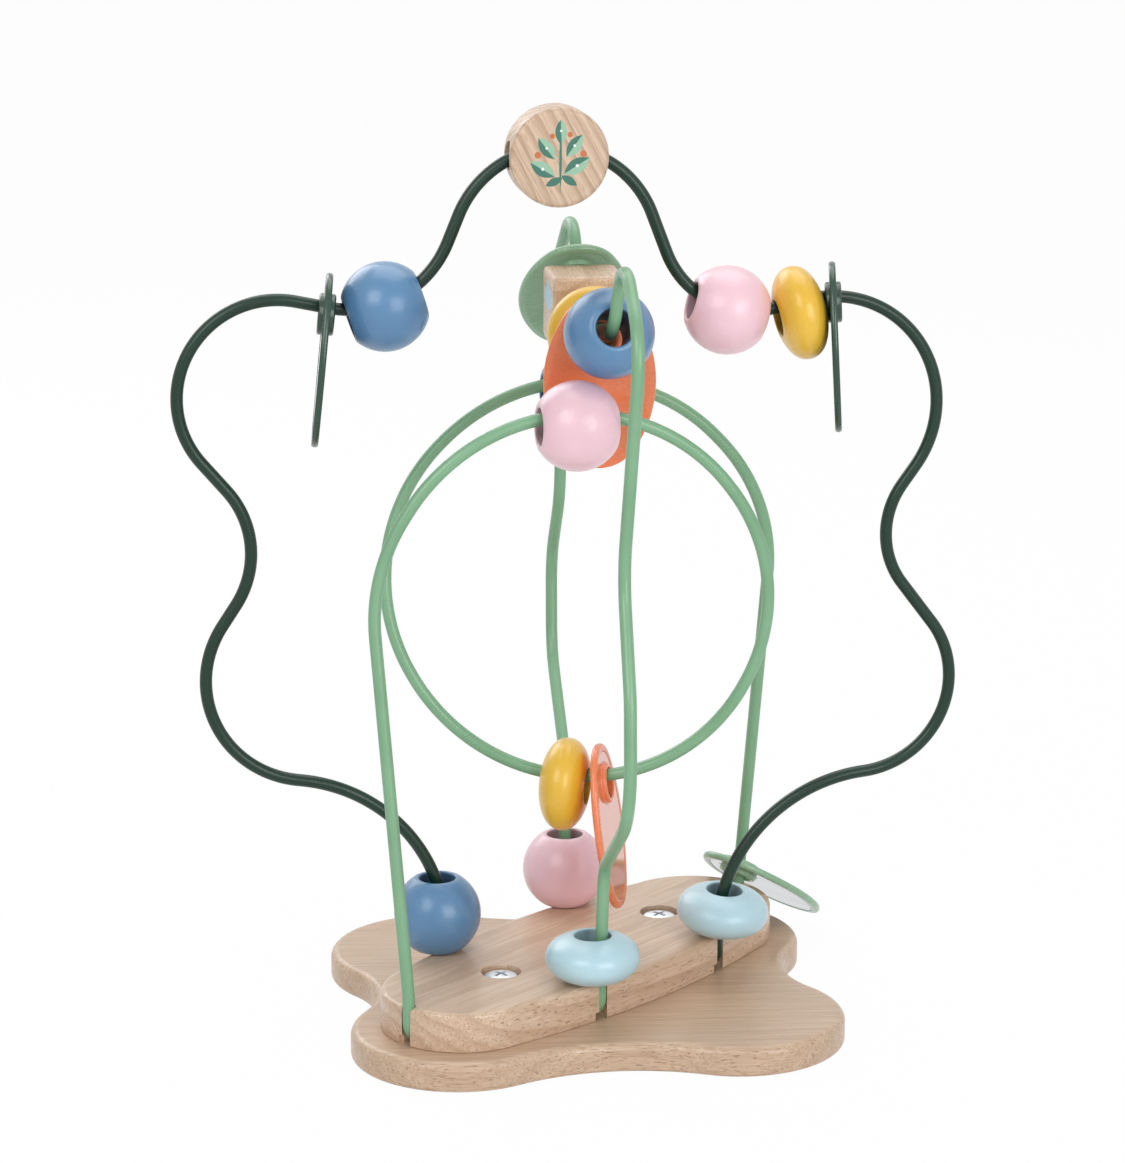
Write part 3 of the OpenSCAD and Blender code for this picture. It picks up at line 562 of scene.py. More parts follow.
def meetPoint(a, ra, b, rb, side):  # where two circles cross, on the given side of the line a to b
    d = np.linalg.norm(b - a)
    e = (b - a) / d
    x = (d * d + ra * ra - rb * rb) / (2 * d)
    return a + e * x + np.array([-e[1], e[0]]) * math.sqrt(ra * ra - x * x) * side


def arcRow(centre, radius, start, end, steps):  # points of an arc without its last one
    angle = start + (end - start) * np.arange(steps) / steps
    return centre + radius * np.stack([np.cos(angle), np.sin(angle)], 1)


def bearing(v):  # angle of a direction in plan
    return math.atan2(v[1], v[0])


def baseOutline(inset):
    # four lobes joined by four hollows: arcs that change over on the line between their middles
    lobeA, lobeB = np.array(foot["lobeA"][:2]), np.array(foot["lobeB"][:2])
    radiusA, radiusB = foot["lobeA"][2], foot["lobeB"][2]
    sideR, frontR = foot["sideHollow"] - foot["bite"], foot["frontHollow"] - foot["bite"]
    side = meetPoint(lobeA, radiusA + sideR, lobeB, radiusB + sideR, 1)
    front = meetPoint(lobeA, radiusA + frontR, -lobeB, radiusB + frontR, -1)
    circles = [(lobeA, radiusA, 1), (front, frontR, -1), (-lobeB, radiusB, 1), (-side, sideR, -1)]
    circles += [(-c, r, s) for c, r, s in circles]
    rows = []
    for k, (c, r, sign) in enumerate(circles):
        before, after = circles[k - 1][0], circles[(k + 1) % len(circles)][0]
        start, end = bearing(before - c), bearing(after - c)
        sweep = (end - start) % (2 * math.pi) if sign > 0 else -((start - end) % (2 * math.pi))
        rows.append(arcRow(c, r - sign * inset, start, start + sweep, foot["lobeSteps"]))
    return np.vstack(rows)


def clampOutline(inset):
    # two bowed sides and two round ends that cross near the ends' shoulders
    endR, sideR = foot["clampEndR"] - inset, foot["clampSideR"] - inset
    endAt = np.array([foot["clampHalfL"] - foot["clampEndR"], 0.0])
    sideAt = np.array([0.0, foot["clampHalfW"] - foot["clampSideR"]])
    corner = meetPoint(endAt, endR, sideAt, sideR, -1)
    a, b = bearing(corner - endAt), bearing(corner - sideAt)
    half = np.vstack([
        arcRow(endAt, endR, -a, a, foot["endSteps"]),
        arcRow(sideAt, sideR, b, math.pi - b, foot["sideSteps"]),
    ])
    return np.vstack([half, -half]) @ np.array([along, -across])


def slabRows(outline, low, high, lowRound, topRound):
    # rows from the underside's middle round the edge to the top's middle; quarter rounds at both edges
    steps, flats = foot["roundSteps"], foot["flats"]
    rows = [(lowRound + flat, low) for flat in flats]
    rows += [(v, low + u) for u, v in quarterRow(lowRound, steps)]
    rows += [(u, high - v) for u, v in quarterRow(topRound, steps)]
    rows += [(topRound + flat, high) for flat in flats[::-1]]
    return [levelRow(outline(inset), z) for inset, z in rows]


seats = {  # mm
    "wireD": 4.1, "inset": 1.5, "gap": 0.25,  # inset: from the clamp's edge to a wire's middle
    "run": 15.0, "grooveH": 6.6, "grooveGap": 0.2,  # the wire's foot under the clamp and its groove
    "notchW": 1.2, "notchH": 3.0,
    "outerU": 36.0, "archU": 25.5,  # places along the clamp
    "lift": 0.2, "bendR": 5.0, "rise": 3.0, "exitR": 14.0,
    "over": 1.0, "toolSteps": 48,  # how far the cutting tools pass a face
}


def clampHalfAt(u):  # half the clamp's width at a place along it
    return foot["clampHalfW"] - foot["clampSideR"] + math.sqrt(foot["clampSideR"] ** 2 - u * u)


outerFoot = along * seats["outerU"] + across * (clampHalfAt(seats["outerU"]) - seats["inset"])
archFoot = -along * seats["archU"] + across * (clampHalfAt(seats["archU"]) - seats["inset"])
loopFoot = -along * (foot["clampHalfL"] - seats["inset"])
footSeats = [
    (outerFoot, -across), (-outerFoot, across), (archFoot, -across),
    (-archFoot, across), (loopFoot, along), (-loopFoot, -along),
]
screwSet = {  # mm
    "u": 40.4, "pocketD": 13.4, "pocketDepth": 3.2,  # u: place along the clamp
    "headD": 11.0, "headH": 2.6, "domeR": 20.0, "steps": 64, "domeSteps": 12,
    "domeStart": 0.12,  # share of the dome's fall where the pole's fan ends
    "brimIn": 0.35, "brimStep": 0.1, "rimIn": 0.3, "rimUp": 0.25,
    "shankD": 4.0, "shankL": 16.0, "underGap": 0.02, "tipL": 2.5, "tipShare": 0.2,
    "crossSpan": 5.4, "crossSlot": 1.2, "crossDepth": 1.5,
}


def boxTool(corner, sizes, x, y):  # a closed box from one corner along x, y and up
    grid = np.array([[0, 0], [1, 0], [1, 1], [0, 1]], float) * sizes[:2]
    plan = corner[:2] + grid[:, :1] * x + grid[:, 1:] * y
    rows = [levelRow(plan, z) for z in (corner[2], corner[2] + sizes[2])]
    return poleStack("tool", rows, paints["clampBeech"])


def roundTool(spot, radius, low, high):  # a closed upright cylinder
    rows = lathe([(radius, low), (radius, high)], seats["toolSteps"])
    return poleStack("tool", rows, paints["clampBeech"], origin=(spot[0], spot[1], 0))


def seatTools():  # a hole, a groove and a notch for each wire's foot, and the screws' pockets
    tools = []
    over, low = seats["over"], foot["baseT"] - seats["over"]
    seatR = seats["wireD"] / 2 + seats["gap"]
    grooveW = seats["wireD"] + 2 * seats["grooveGap"]
    groove = (seats["run"] + seats["grooveGap"], grooveW, seats["grooveH"] + over)
    notch = (seats["inset"] + over, seatR + seats["notchW"], seats["notchH"] + over)
    for spot, inner in footSeats:
        side = np.array([-inner[1], inner[0]])
        tools.append(roundTool(spot, seatR, low, clampTop + over))
        tools.append(boxTool(np.append(spot - side * grooveW / 2, low), groove, inner, side))
        tools.append(boxTool(np.append(spot - inner * (seats["inset"] + over), low), notch, inner, side))
    pocketLow = clampTop - screwSet["pocketDepth"]
    for sign in (-1, 1):
        spot = along * screwSet["u"] * sign
        tools.append(roundTool(spot, screwSet["pocketD"] / 2, pocketLow, clampTop + over))
    return tools


basePiece = poleStack(
    "basePiece",
    slabRows(baseOutline, 0.0, foot["baseT"], foot["baseLowRound"], foot["baseTopRound"]),
    paints["baseBeech"],
)
stayWith(basePiece, "base_plate", "frame")
clampPiece = poleStack(
    "clampPiece",
    slabRows(clampOutline, foot["baseT"], clampTop, foot["clampLowRound"], foot["clampTopRound"]),
    paints["clampBeech"],
)
stayWith(carve(clampPiece, seatTools()), "clamp_plate", "frame")
print("stage: base and clamp plates")


def screwPiece(node, spot):
    # turned pan head on its shank, with a cross recess cut into the dome
    s = screwSet
    headR, domeR, top = s["headD"] / 2, s["domeR"], s["headH"]
    fall = np.linspace(s["domeStart"], 1, s["domeSteps"]) * math.asin((headR - s["brimIn"]) / domeR)
    dome = [(domeR * math.sin(a), top - domeR * (1 - math.cos(a))) for a in fall[::-1]]
    brim, shankR, end = dome[0][1], s["shankD"] / 2, -s["shankL"]
    low = [(shankR * s["tipShare"], end), (shankR, end + s["tipL"]), (shankR, -s["underGap"])]
    rim = [(headR - s["rimIn"], 0.0), (headR, s["rimUp"])]
    rim += [(headR, brim - s["brimIn"]), (headR - s["brimStep"], brim - s["brimStep"])]
    origin = (spot[0], spot[1], clampTop - s["pocketDepth"])
    rows = lathe(low + rim + dome, s["steps"])
    piece = poleStack(camel(node), rows, paints["zinc_plate"], origin=origin)
    sizes = (s["crossSpan"], s["crossSlot"], s["crossDepth"] + seats["over"])
    tools = []
    for x, y in ((along, across), (across, -along)):
        corner = spot - x * s["crossSpan"] / 2 - y * s["crossSlot"] / 2
        tools.append(boxTool(np.append(corner, origin[2] + top - s["crossDepth"]), sizes, x, y))
    return stayWith(carve(piece, tools), node, "frame")


screwPiece("front_screw", -along * screwSet["u"])
screwPiece("rear_screw", along * screwSet["u"])
print("stage: screws")

wires = {
    "outer": {
        "half": 130.0,  # mm, half span
        "shares": [  # each corner's place out and up and its bend's radius, as shares of the half span
            (-0.365, 0.415, 0.425), (-1.14, 0.535, 0.265), (-0.775, 1.085, 0.245), (-1.415, 1.845, 0.245),
            (-0.42, 1.63, 0.26), (-0.06, 2.5, 0.26), (0.285, 1.6, 0.24), (1.28, 1.82, 0.28),
            (0.735, 1.05, 0.22), (1.175, 0.47, 0.245), (0.4, 0.385, 0.425),
        ],
    },
    "arch": {
        "half": 90.0,
        "lean": 1.15,  # degrees
        "shares": [
            (-0.47, 0.44, 0.155), (-1.005, 0.79, 0.29), (-0.94, 1.185, 0.27), (-0.735, 1.585, 0.32),
            (-0.965, 2.425, 0.22), (-0.555, 2.7, 0.165), (-0.4, 2.335, 0.26), (0.4, 2.34, 0.22),
            (0.59, 2.685, 0.155), (0.97, 2.405, 0.22), (0.76, 1.565, 0.3), (0.975, 1.25, 0.27),
            (0.915, 0.885, 0.265), (0.505, 0.56, 0.155),
        ],
    },
    "loop": {
        "radius": 60.0,
        "shares": [  # each corner's place in three directions and its bend's radius, as shares of the radius
            (-1.125, -0.765, 2.3, 1.02), (-0.12, -0.55, 3.885, 1.065), (1.185, -0.25, 2.155, 1.075),
            (0.02, 0.0, -0.195, 1.06), (-1.35, 0.25, 2.205, 1.065), (-0.005, 0.55, 3.545, 1.095),
            (1.095, 0.765, 2.39, 1.09),
        ],
    },
}


def footPath(spot, inner):  # along the groove, round the bend and up out of the plate
    z = foot["baseT"] + seats["lift"] + seats["wireD"] / 2
    tip = np.append(spot + inner * seats["run"], z)
    return [tip, np.append(spot, z), np.append(spot, clampTop + seats["rise"])]


def wholeRoute(spot, inner, corners, radii):  # corners and bend radii from one foot to the other
    footRadii = [0.0, seats["bendR"], seats["exitR"]]
    path = footPath(spot, inner) + list(corners) + footPath(-spot, -inner)[::-1]
    return np.array(path), np.array(footRadii + list(radii) + footRadii[::-1])


def flatRoute(spot, inner, direction, values):  # a wire in one upright plane
    lean = math.tan(math.radians(values.get("lean", 0.0)))
    sideways = np.array([direction[1], -direction[0]]) * lean
    table = np.array(values["shares"]) * values["half"]
    plan = table[:, :1] * direction + table[:, 1:2] * sideways
    return wholeRoute(spot, inner, np.column_stack([plan, table[:, 1] + clampTop]), table[:, 2])


def loopRoute(values):  # the spiral wire
    table = np.array(values["shares"]) * values["radius"]
    return wholeRoute(loopFoot, along, table[:, :3] + [0, 0, clampTop], table[:, 3])


wireSet = {"sides": 24, "tipShare": 0.75, "runStep": 4.0, "bendStep": 1.1, "leastRun": 2, "leastBend": 4}


def bendRoute(corners, radii):
    # straight runs joined by circular bends that touch both neighbours; returns stations and headings
    runs = np.diff(corners, axis=0)
    heads = runs / np.linalg.norm(runs, axis=1)[:, None]
    stations, headings = [corners[:1]], [heads[:1]]
    last = corners[0]
    for i in range(1, len(corners) - 1):
        a, b = heads[i - 1], heads[i]
        turn = math.acos(min(1.0, a @ b))
        start = corners[i] - a * radii[i] * math.tan(turn / 2)
        inward = unit(b - a * (a @ b))
        gap = np.linalg.norm(start - last)
        count = max(wireSet["leastRun"], int(gap / wireSet["runStep"]))
        share = np.linspace(0, 1, count, endpoint=False)[1:, None]
        stations.append(last + (start - last) * share)
        headings.append(np.repeat(a[None], count - 1, 0))
        count = max(wireSet["leastBend"], int(turn * radii[i] / wireSet["bendStep"]))
        angle = np.linspace(0, turn, count)[:, None]
        middle = start + inward * radii[i]
        stations.append(middle - inward * radii[i] * np.cos(angle) + a * radii[i] * np.sin(angle))
        headings.append(a * np.cos(angle) + inward * np.sin(angle))
        last = stations[-1][-1]
    return np.vstack(stations + [corners[-1:]]), np.vstack(headings + [heads[-1:]])


def wirePiece(node, route, flatNormal, slot):
    # a round profile carried along the bent route, square to its heading
    stations, headings = bendRoute(*route)
    side = np.cross(headings, flatNormal)
    side /= np.linalg.norm(side, axis=1)[:, None]
    lift = np.cross(side, headings)
    angle = np.linspace(0, 2 * math.pi, wireSet["sides"], endpoint=False)[None, :, None]
    radius = seats["wireD"] / 2
    circle = np.cos(angle) * side[:, None] + np.sin(angle) * lift[:, None]
    rows = stations[:, None] + radius * circle
    tip = radius * wireSet["tipShare"]  # a ring inside each cut end
    first = stations[0] + tip * circle[0]
    final = stations[-1] + tip * circle[-1]
    piece = poleStack(camel(node), np.concatenate([first[None], rows, final[None]]), paints[slot])
    return stayWith(piece, node, "frame")


outerWay, archWay = unit(outerFoot), -unit(archFoot)
wirePiece(
    "outer_wire", flatRoute(-outerFoot, across, outerWay, wires["outer"]),
    np.array([-outerWay[1], outerWay[0], 0]), "dark_green_coat",
)
wirePiece("loop_wire", loopRoute(wires["loop"]), np.array([0, 1.0, 0]), "light_green_coat")
wirePiece(
    "arch_wire", flatRoute(archFoot, -across, archWay, wires["arch"]),
    np.array([-archWay[1], archWay[0], 0]), "light_green_coat",
)
print("stage: wires")

ballSet = {
    "radius": 14.5, "boreR": 6.0, "flatR": 7.5, "lip": 0.7,
    "arcSteps": 49, "edgeTurn": 0.035, "flatEdge": 0.3, "wallSteps": 9, "wallIn": 1.0,
}
ringSet = {
    "radius": 15.5, "boreR": 6.0, "half": 8.25, "power": 2.2, "lip": 0.7,
    "arcSteps": 30, "wallSteps": 7, "wallIn": 1.0,
}


def ballProfile(s):  # bore wall, rounded mouths, small flats and the sphere between them
    half = math.sqrt(s["radius"] ** 2 - s["flatR"] ** 2)
    mouth = lipRow(s["boreR"], half, s["lip"])
    start = math.asin(half / s["radius"]) - s["edgeTurn"]
    arc = np.linspace(start, -start, s["arcSteps"])
    ball = [(s["radius"] * math.cos(a), s["radius"] * math.sin(a)) for a in arc]
    flat = [(s["flatR"] - s["flatEdge"], half)]
    low = [(r, -z) for r, z in (mouth + flat)[::-1]]
    wall = boreWall(s["boreR"], half - s["lip"] - s["wallIn"], s["wallSteps"])
    return mouth + flat + ball + low + wall


def ringProfile(s):  # bore wall, rounded mouths and a super-ellipse from mouth to mouth
    power = s["power"]
    start = math.acos(((s["boreR"] + s["lip"]) / s["radius"]) ** (power / 2))
    radius = s["radius"] * np.cos(np.linspace(start, 0, s["arcSteps"])) ** (2 / power)
    height = s["half"] * (1 - (radius / s["radius"]) ** power) ** (1 / power)
    mouth = lipRow(s["boreR"], height[0], s["lip"])[:-1]
    half = mouth + list(zip(radius, height))
    wall = boreWall(s["boreR"], mouth[0][1] - s["wallIn"], s["wallSteps"])
    return half + [(r, -z) for r, z in half[:-1][::-1]] + wall


turned = [
    ("ball", "blue_lacquer", ("left_ball", "left_foot_ball", "loop_back_ball", "arch_ball")),
    ("ball", "pink_lacquer", ("right_ball", "loop_ball", "rear_foot_ball")),
    ("ring", "yellow_lacquer", ("right_ring", "loop_ring", "arch_ring")),
    ("ring", "pale_blue_lacquer", ("right_foot_ring", "front_foot_ring")),
]
profiles = {"ball": ballProfile(ballSet), "ring": ringProfile(ringSet)}
for shape, slot, beads in turned:
    for node in beads:
        centre, axes = beadFrame(node)
        piece = ringStack(camel(node), lathe(profiles[shape]), paints[slot], centre, axes)
        keepLocal(piece, centre, axes)
        stayWith(piece, node, node)
print("stage: balls and ring beads")

ovalSet = {
    "length": 56.5, "width": 36.8, "endR": 14.0, "rim": 1.4, "plate": 2.2, "holeIn": 13.3, "holeR": 5.1,
    "collarR": 6.7, "collarHalf": 2.7, "collarLip": 0.8, "holeLip": 0.45, "land": 0.4,
    "recessIn": 2.7, "recess": 0.5, "mirrorT": 0.4, "mirrorGap": 0.15,
    "edgeBreak": 0.05, "collarFoot": 0.1, "underIn": 1.0, "filmBreak": 0.08, "filmIn": 0.5,
    "outlineSteps": 400, "steps": 160, "lipSteps": 5, "rimSteps": 17, "wallSteps": 4, "wallIn": 1.0,
    "collarShare": 0.95,  # points above this share of the height belong to the collar
    "sharp": 50.0, "panelSharp": 30.0,  # degrees
}


def ovalOutline(inset, angle):
    # distance from the hole's middle to the inset outline, four arcs that meet smoothly, at each angle
    s = ovalSet
    endAt, waist = s["length"] / 2 - s["endR"], s["width"] / 2 - s["endR"]
    sideAt = (endAt * endAt - waist * waist) / (2 * waist)
    sideR = s["width"] / 2 + sideAt
    split = math.atan2(sideAt, endAt)
    arcs = [
        ((endAt, 0), s["endR"], -split, split),
        ((0, -sideAt), sideR, split, math.pi - split),
        ((-endAt, 0), s["endR"], math.pi - split, math.pi + split),
        ((0, sideAt), sideR, math.pi + split, 2 * math.pi - split),
    ]
    line = np.vstack([arcRow(np.array(c), r - inset, a, b, s["outlineSteps"]) for c, r, a, b in arcs])
    line[:, 0] += s["length"] / 2 - s["holeIn"]
    bearings = np.arctan2(line[:, 1], line[:, 0]) % (2 * math.pi)
    order = np.argsort(bearings)
    reach = np.linalg.norm(line, axis=1)
    return np.interp(angle, bearings[order], reach[order], period=2 * math.pi)


def holeRows(rows, angle):  # circles round the hole, by radius and height
    return [planRow(r, angle, z) for r, z in rows]


def edgeRows(rows, angle):  # copies of the outline, by inset and height
    return [planRow(ovalOutline(inset, angle), angle, z) for inset, z in rows]


def ovalRows(angle):
    # from the hole over the collar, the recess with the panel's bed and the rim, and back under the plate
    s = ovalSet
    half, rim, step, fillet = s["plate"] / 2, s["rim"], s["edgeBreak"], s["collarFoot"]
    top, collarR, recessIn = s["collarHalf"], s["collarR"], s["recessIn"]
    upper = lipRow(s["holeR"], top, s["holeLip"], s["lipSteps"])
    upper += [(collarR - v, top - u) for u, v in quarterRow(s["collarLip"], s["lipSteps"])]
    upper += [(collarR, half + fillet), (collarR + fillet, half)]
    land, bed = collarR + s["land"], half - s["recess"]
    face = upper + [(land - step, half), (land, half - step), (land, bed)]
    meet = math.asin(half / rim)
    edge = [(recessIn, bed), (recessIn, half - step), (recessIn - step, half)]
    edge += [(rim - rim * math.cos(a), rim * math.sin(a)) for a in np.linspace(meet, -meet, s["rimSteps"])]
    edge += [(recessIn - step, -half)]
    under = [(land + s["underIn"], -half)] + [(r, -z) for r, z in upper[::-1]]
    under += boreWall(s["holeR"], top - s["wallIn"], s["wallSteps"])
    return holeRows(face, angle) + edgeRows(edge, angle) + holeRows(under, angle)


def mirrorRows(angle):  # a thin plate with broken edges round the collar's land
    s = ovalSet
    low = s["plate"] / 2 - s["recess"]
    high, step = low + s["mirrorT"], s["filmBreak"]
    inner, outer = s["collarR"] + s["land"] + s["mirrorGap"], s["recessIn"] + s["mirrorGap"]
    side = [(0, low), (0, high - step), (step, high), (s["filmIn"], high)]  # in from the edge, height
    hole = [(inner + i, z) for i, z in side]
    return holeRows(hole, angle) + edgeRows([(outer + i, z) for i, z in side[::-1]], angle)


def ovalFrame(node, mirrorNode):  # hole's middle, X along the oval away from it, Z towards the mirror
    centre, _, axes = nodeSpread(node)
    z = axes[:, 0]
    z = z if (nodeSpread(mirrorNode)[0] - centre) @ z > 0 else -z
    points = meshPoints(nodes[node].data)
    height = np.abs((points - centre) @ z)
    hole = points[height > ovalSet["collarShare"] * height.max()].mean(0)
    x = axes[:, 2] if axes[:, 2] @ (centre - hole) > 0 else -axes[:, 2]
    middle = hole - z * ((hole - centre) @ z)
    return middle, np.stack([x, np.cross(z, x), z], 1)


ovals = [
    ("left", "dark_green_plastic", "mirror_film"), ("right", "dark_green_plastic", "mirror_film"),
    ("loop", "orange_plastic", "orange_film"), ("arch", "orange_plastic", "orange_film"),
    ("foot", "light_green_plastic", "mirror_film"), ("back", "light_green_plastic", "mirror_film"),
]
ovalAngles = np.linspace(0, 2 * math.pi, ovalSet["steps"], endpoint=False)
ovalGrid, panelGrid = ovalRows(ovalAngles), mirrorRows(ovalAngles)
for side, slot, film in ovals:
    body, mirror = side + "_oval", side + "_mirror"
    middle, axes = ovalFrame(body, mirror)
    piece = ringStack(camel(body), ovalGrid, paints[slot], middle, axes)
    piece.data.set_sharp_from_angle(angle=math.radians(ovalSet["sharp"]))
    stayWith(piece, body, body)
    panel = ringStack(camel(mirror), panelGrid, paints[film], middle, axes)
    panel.data.set_sharp_from_angle(angle=math.radians(ovalSet["panelSharp"]))
    stayWith(panel, mirror, body)
print("stage: ovals and mirrors")

printColours = {
    "mint": linear(150, 192, 163), "dark": linear(45, 110, 92), "white": linear(243, 244, 240),
    "orange": linear(196, 108, 58), "sky": linear(165, 205, 224), "deepSky": linear(112, 168, 200),
}
printBlur = {"leaf": 0.06, "dot": 0.07}  # mm, half a print's soft edge


def leafMask(x, y, leaf):  # inside where the distance from the midrib is under width * (1 - (run / length)^2)
    cx, cy, angle, length, width = leaf
    c, s = math.cos(math.radians(angle)), math.sin(math.radians(angle))
    run = x * (c / length) + y * (s / length) - (cx * c + cy * s) / length
    side = y * c - x * s - (cy * c - cx * s)
    return ((1.0 - run * run) * width - abs(side)).ease(-printBlur["leaf"], printBlur["leaf"]), side


def dotMask(x, y, dot):  # inside a circle
    cx, cy, radius = dot
    dx, dy, blur = x - cx, y - cy, printBlur["dot"]
    return (dx * dx + dy * dy).calc("SQRT").ease(radius + blur, radius - blur)


discPrint = {
    "leaves": [  # across, up, angle, half length, half width, in mm
        (-5.6, -3.6, 150, 4.6, 2.3), (5.4, -2.6, 32, 4.8, 2.4), (-4.4, 3.0, 128, 4.4, 2.1),
        (4.6, 3.8, 54, 4.4, 2.1), (0.2, 8.2, 91, 4.0, 1.9),
    ],
    "darkLeaves": [(-1.9, -7.6, 205, 3.0, 1.25), (3.0, -7.2, -32, 3.0, 1.25)],
    "stem": (0.1, -0.8, 90, 10.6, 0.42),
    "berries": [(-7.2, 0.9, 1.05), (7.4, 1.3, 1.05), (-2.6, 6.9, 0.85), (3.1, 7.4, 0.85)],
    "sparks": [(-5.6, -3.5, 0.5), (5.5, -2.5, 0.5), (-4.4, 3.1, 0.42), (4.6, 3.9, 0.42), (0.2, 8.6, 0.4)],
    "front": (6.9, 7.2),  # mm along the disc's axis, where the print sets in
    "midrib": (0.02, 0.14),
}
discGrain = {"turn": (0, 0, math.radians(-60)), "shift": (2, 1, 3)}
discWood = {
    "pith": (-60.0, 26.0), "ringSpace": 3.5, "ringDepth": 0.65, "lineDepth": 0.4, "fleckDepth": 0.2,
    "deep": linear(172, 139, 112),
}


def discPaint():
    # beech disc cut across the grain's slope, with a printed sprig of leaves and berries on its front
    paint = Paint("discBeech")
    grain = paint.place(attribute="local", **discGrain)
    tone, height, streak = beechCoat(paint, grain, **discWood)
    x, y, z = paint.parts(paint.place(attribute="local"))
    front = z.ease(*discPrint["front"])
    ink = 0.0
    for leaf in discPrint["leaves"]:
        mask, side = leafMask(x, y, leaf)
        tone = paint.blend(mask * front, tone, printColours["mint"])
        shade = mask * side.ease(*discPrint["midrib"]) * front  # the darker half beyond the midrib
        tone = paint.blend(shade, tone, printColours["dark"])
        ink = mask + ink
    for leaf in discPrint["darkLeaves"] + [discPrint["stem"]]:
        mask, _ = leafMask(x, y, leaf)
        tone = paint.blend(mask * front, tone, printColours["dark"])
        ink = mask + ink
    for key, colour in (("berries", "orange"), ("sparks", "white")):
        for dot in discPrint[key]:
            mask = dotMask(x, y, dot)
            tone = paint.blend(mask * front, tone, printColours[colour])
            ink = mask + ink
    inked = ink.calc("MINIMUM", 1.0) * front
    return paint.finish(
        Base_Color=tone,
        Roughness=streak.ease(0.2, 0.8, 0.4, 0.5) - inked * 0.08,
        Normal=paint.bump(height * (1.0 - inked * 0.6), beechLook["bump"]),
        Coat_Weight=0.25,
        Coat_Roughness=0.2,
    )


cubePrint = {
    "dots": [(-4.2, 3.4, 3.4), (0.2, 5.0, 4.0), (4.4, 3.2, 3.2), (0.4, 2.2, 3.4)],  # a cloud of four rounds
    "drops": [(-4.6, -4.2, 78, 2.2, 0.85), (0.0, -5.6, 78, 2.2, 0.85), (4.6, -4.2, 78, 2.2, 0.85)],
    "face": (11.75, 11.95),  # mm from the middle, where the print sets in
}
cubeGrain = {"turn": (0, math.radians(90), math.radians(12)), "shift": (1, 4, 2)}
cubeWood = {"pith": (-34.0, 40.0), "ringDepth": 0.6}


def cubePaint():
    # beech cube with a printed cloud and drops on its two upright faces beside the bore
    paint = Paint("cubeBeech")
    grain = paint.place(attribute="local", **cubeGrain)
    tone, height, streak = beechCoat(paint, grain, **cubeWood)
    x, y, z = paint.parts(paint.place(attribute="local"))  # x down, y to one side, z along the bore
    up = -x
    for sign in (1, -1):
        face = (y * sign).ease(*cubePrint["face"])
        for dot in cubePrint["dots"]:
            tone = paint.blend(dotMask(z, up, dot) * face, tone, printColours["sky"])
        for drop in cubePrint["drops"]:
            mask, _ = leafMask(z, up, drop)
            tone = paint.blend(mask * face, tone, printColours["deepSky"])
    return paint.finish(
        Base_Color=tone,
        Roughness=streak.ease(0.2, 0.8, 0.4, 0.5),
        Normal=paint.bump(height, beechLook["bump"]),
        Coat_Weight=0.2,
        Coat_Roughness=0.2,
    )


discSet = {
    "radius": 16.0, "half": 7.5, "round": 1.6, "boreR": 4.75, "over": 2.0, "flatStep": 0.3,
    "steps": 128, "roundSteps": 7, "boreSteps": 64, "sharp": 40.0,
}
cubeSet = {
    "half": 12.0, "round": 1.3, "boreR": 6.0, "lip": 0.6, "flatStep": 0.3,
    "leastCorner": 0.12, "steps": 80, "crowd": 0.045, "roundSteps": 7, "wallIn": 2.0, "wallSteps": 5,
}


def discPiece():
    # a turned disc with rounded edges, bored through its rim from side to side
    s = discSet
    centre, _, axes = nodeSpread("top_disc")
    z = axes[:, 0] if axes[1, 0] < 0 else -axes[:, 0]
    bore = axes[:, 2] if axes[0, 2] > 0 else -axes[:, 2]
    frameAxes = np.stack([bore, np.cross(z, bore), z], 1)
    upper = [(s["radius"] - u, s["half"] - v) for u, v in quarterRow(s["round"], s["roundSteps"])]
    upper += [(s["radius"] - s["round"] - s["flatStep"], s["half"]), (s["radius"] / 2, s["half"])]
    profile = [(r, -h) for r, h in upper[::-1]] + upper
    piece = poleStack("topDisc", lathe(profile, s["steps"]), discPaint(), centre, frameAxes)
    reach = s["radius"] + s["over"]
    rod = lathe([(s["boreR"], -reach), (s["boreR"], reach)], s["boreSteps"])
    rodAxes = np.stack([frameAxes[:, 1], z, bore], 1)
    tool = poleStack("tool", rod, paints["baseBeech"], centre, rodAxes)
    carve(piece, [tool], s["sharp"])
    keepLocal(piece, centre, frameAxes)
    return stayWith(piece, "top_disc", "top_disc")


def squareRow(inset, z, angle, s):
    # a square with rounded corners, by its distance from the middle at each angle
    half, corner = s["half"] - inset, max(s["round"] - inset, s["leastCorner"])
    c, d = np.abs(np.cos(angle)), np.abs(np.sin(angle))
    big, small = np.maximum(c, d), np.minimum(c, d)
    flat = half / big
    k = half - corner
    inner = k * (big + small)
    arc = inner + np.sqrt(np.maximum(inner * inner - (2 * k * k - corner * corner), 0))
    return planRow(np.where(half * small / big > k, arc, flat), angle, z)


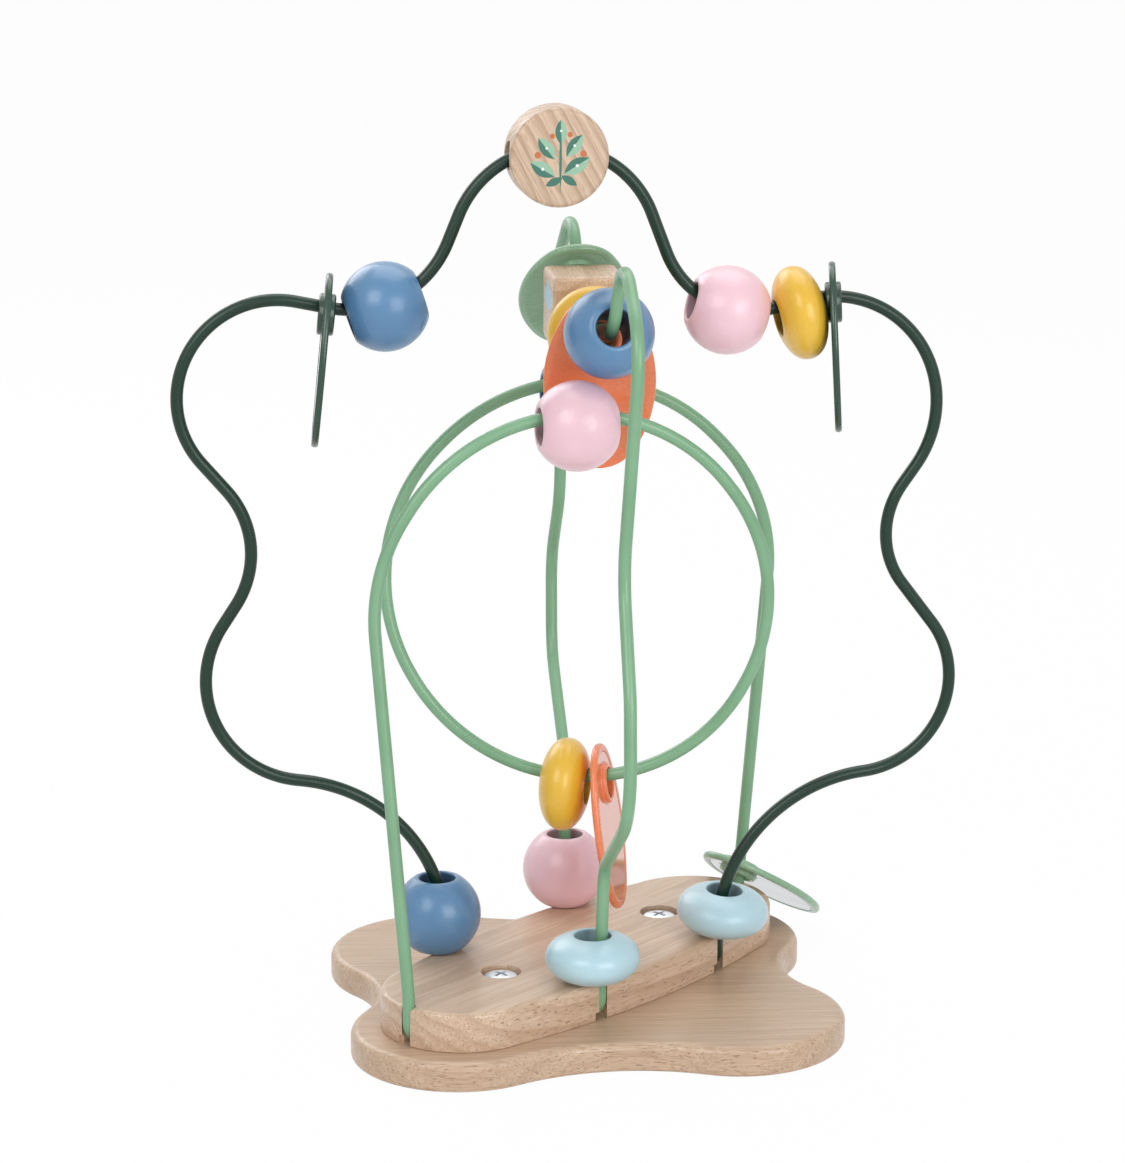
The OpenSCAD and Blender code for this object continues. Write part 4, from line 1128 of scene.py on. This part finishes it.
def cubePiece():
    # rows round the bore: mouth, flat face, rounded edge, side, and the same back along the other face
    s = cubeSet
    centre, axes = beadFrame("arch_cube")
    base = np.linspace(0, 2 * math.pi, s["steps"], endpoint=False)
    angle = base - s["crowd"] * np.sin(4 * base)  # more points where the corners are
    half, edge, flat = s["half"], s["round"], s["flatStep"]
    mouth = lipRow(s["boreR"], half, s["lip"]) + [(s["boreR"] + s["lip"] + flat, half)]
    sides = [(edge + flat, half)] + [(v, half - u) for u, v in quarterRow(edge, s["roundSteps"])]
    sides += [(0, half - edge - flat)]
    upper = holeRows(mouth, angle) + [squareRow(inset, z, angle, s) for inset, z in sides]
    wall = holeRows(boreWall(s["boreR"], half - s["wallIn"], s["wallSteps"]), angle)
    flip = np.array([1, 1, -1])
    rows = upper + [row * flip for row in upper[::-1]] + wall
    piece = ringStack("archCube", rows, cubePaint(), centre, axes)
    keepLocal(piece, centre, axes)
    return stayWith(piece, "arch_cube", "arch_cube")


discPiece()
cubePiece()
print("stage: disc and cube")

lampSet = {  # m and W
    "key": {"place": (-0.75, -1.25, 1.1), "size": 0.9, "power": 9.6},
    "fill": {"place": (0.85, -1.3, 0.6), "size": 0.9, "power": 10.0},
    "top": {"place": (0.1, 0.45, 1.5), "size": 1.2, "power": 8.5},
    "back": {"place": (-0.7, 1.0, 0.9), "size": 0.8, "power": 5.0},
}
studio = {"aim": (0.0, 0.0, 0.13), "worldLight": 0.28, "floorGlow": 0.97}
for name, values in lampSet.items():
    lamp = bpy.data.objects.new(name + "Lamp", bpy.data.lights.new(name + "Lamp", "AREA"))
    lamp.data.size = values["size"]
    lamp.data.energy = values["power"]
    lamp.location = values["place"]
    aimAt(lamp, studio["aim"])
    scene.collection.objects.link(lamp)


def seenRays(paint):  # 1 for rays that look at the backdrop, 0 for the light that falls on the object
    path = paint.node("ShaderNodeLightPath").socket.node.outputs
    rays = [Signal(paint, path[key]) for key in ("Is Camera Ray", "Is Glossy Ray", "Is Transmission Ray")]
    return (rays[0] + rays[1] + rays[2]).calc("MINIMUM", 1.0)


floorSet = {"reach": 6.0, "tiles": 25, "height": -0.0003}  # metres
floorPaint = Paint("floorPaint")
floorPaint.finish(Base_Color=linear(244, 244, 244), Roughness=0.9, Specular_IOR_Level=0.1)
glow = floorPaint.node("ShaderNodeEmission", {}, {"Color": (1, 1, 1, 1), "Strength": 1.0})
matt = Signal(floorPaint, floorPaint.shader.outputs[0])
seen = seenRays(floorPaint) * studio["floorGlow"]
mixed = floorPaint.node("ShaderNodeMixShader", {}, {0: seen, 1: matt, 2: glow})
floorPaint.feed(floorPaint.tree.nodes["Material Output"].inputs["Surface"], mixed)
tiles = np.linspace(-floorSet["reach"], floorSet["reach"], floorSet["tiles"])
floorX, floorY = np.meshgrid(tiles, tiles)
floorPoints = np.stack([floorX, floorY, np.full_like(floorX, floorSet["height"])], -1).reshape(-1, 3)
floorFaces = gridFaces(floorSet["tiles"], floorSet["tiles"], False, False)
floor = buildPiece("floor", floorPoints, floorFaces.tolist(), floorPaint.material)

world = bpy.data.worlds.new("studio")
scene.world = world
world.use_nodes = True


class WorldPaint(Paint):  # the world's nodes, fed in the same way
    def __init__(self, ground):
        self.tree = ground.node_tree


sky = WorldPaint(world)
skyShader = world.node_tree.nodes["Background"]
sky.feed(skyShader.inputs["Color"], (1, 1, 1, 1))
strength = seenRays(sky) * (1.0 - studio["worldLight"]) + studio["worldLight"]
sky.feed(skyShader.inputs["Strength"], strength)
scene.view_settings.view_transform = "Standard"
print("stage: lights and floor")
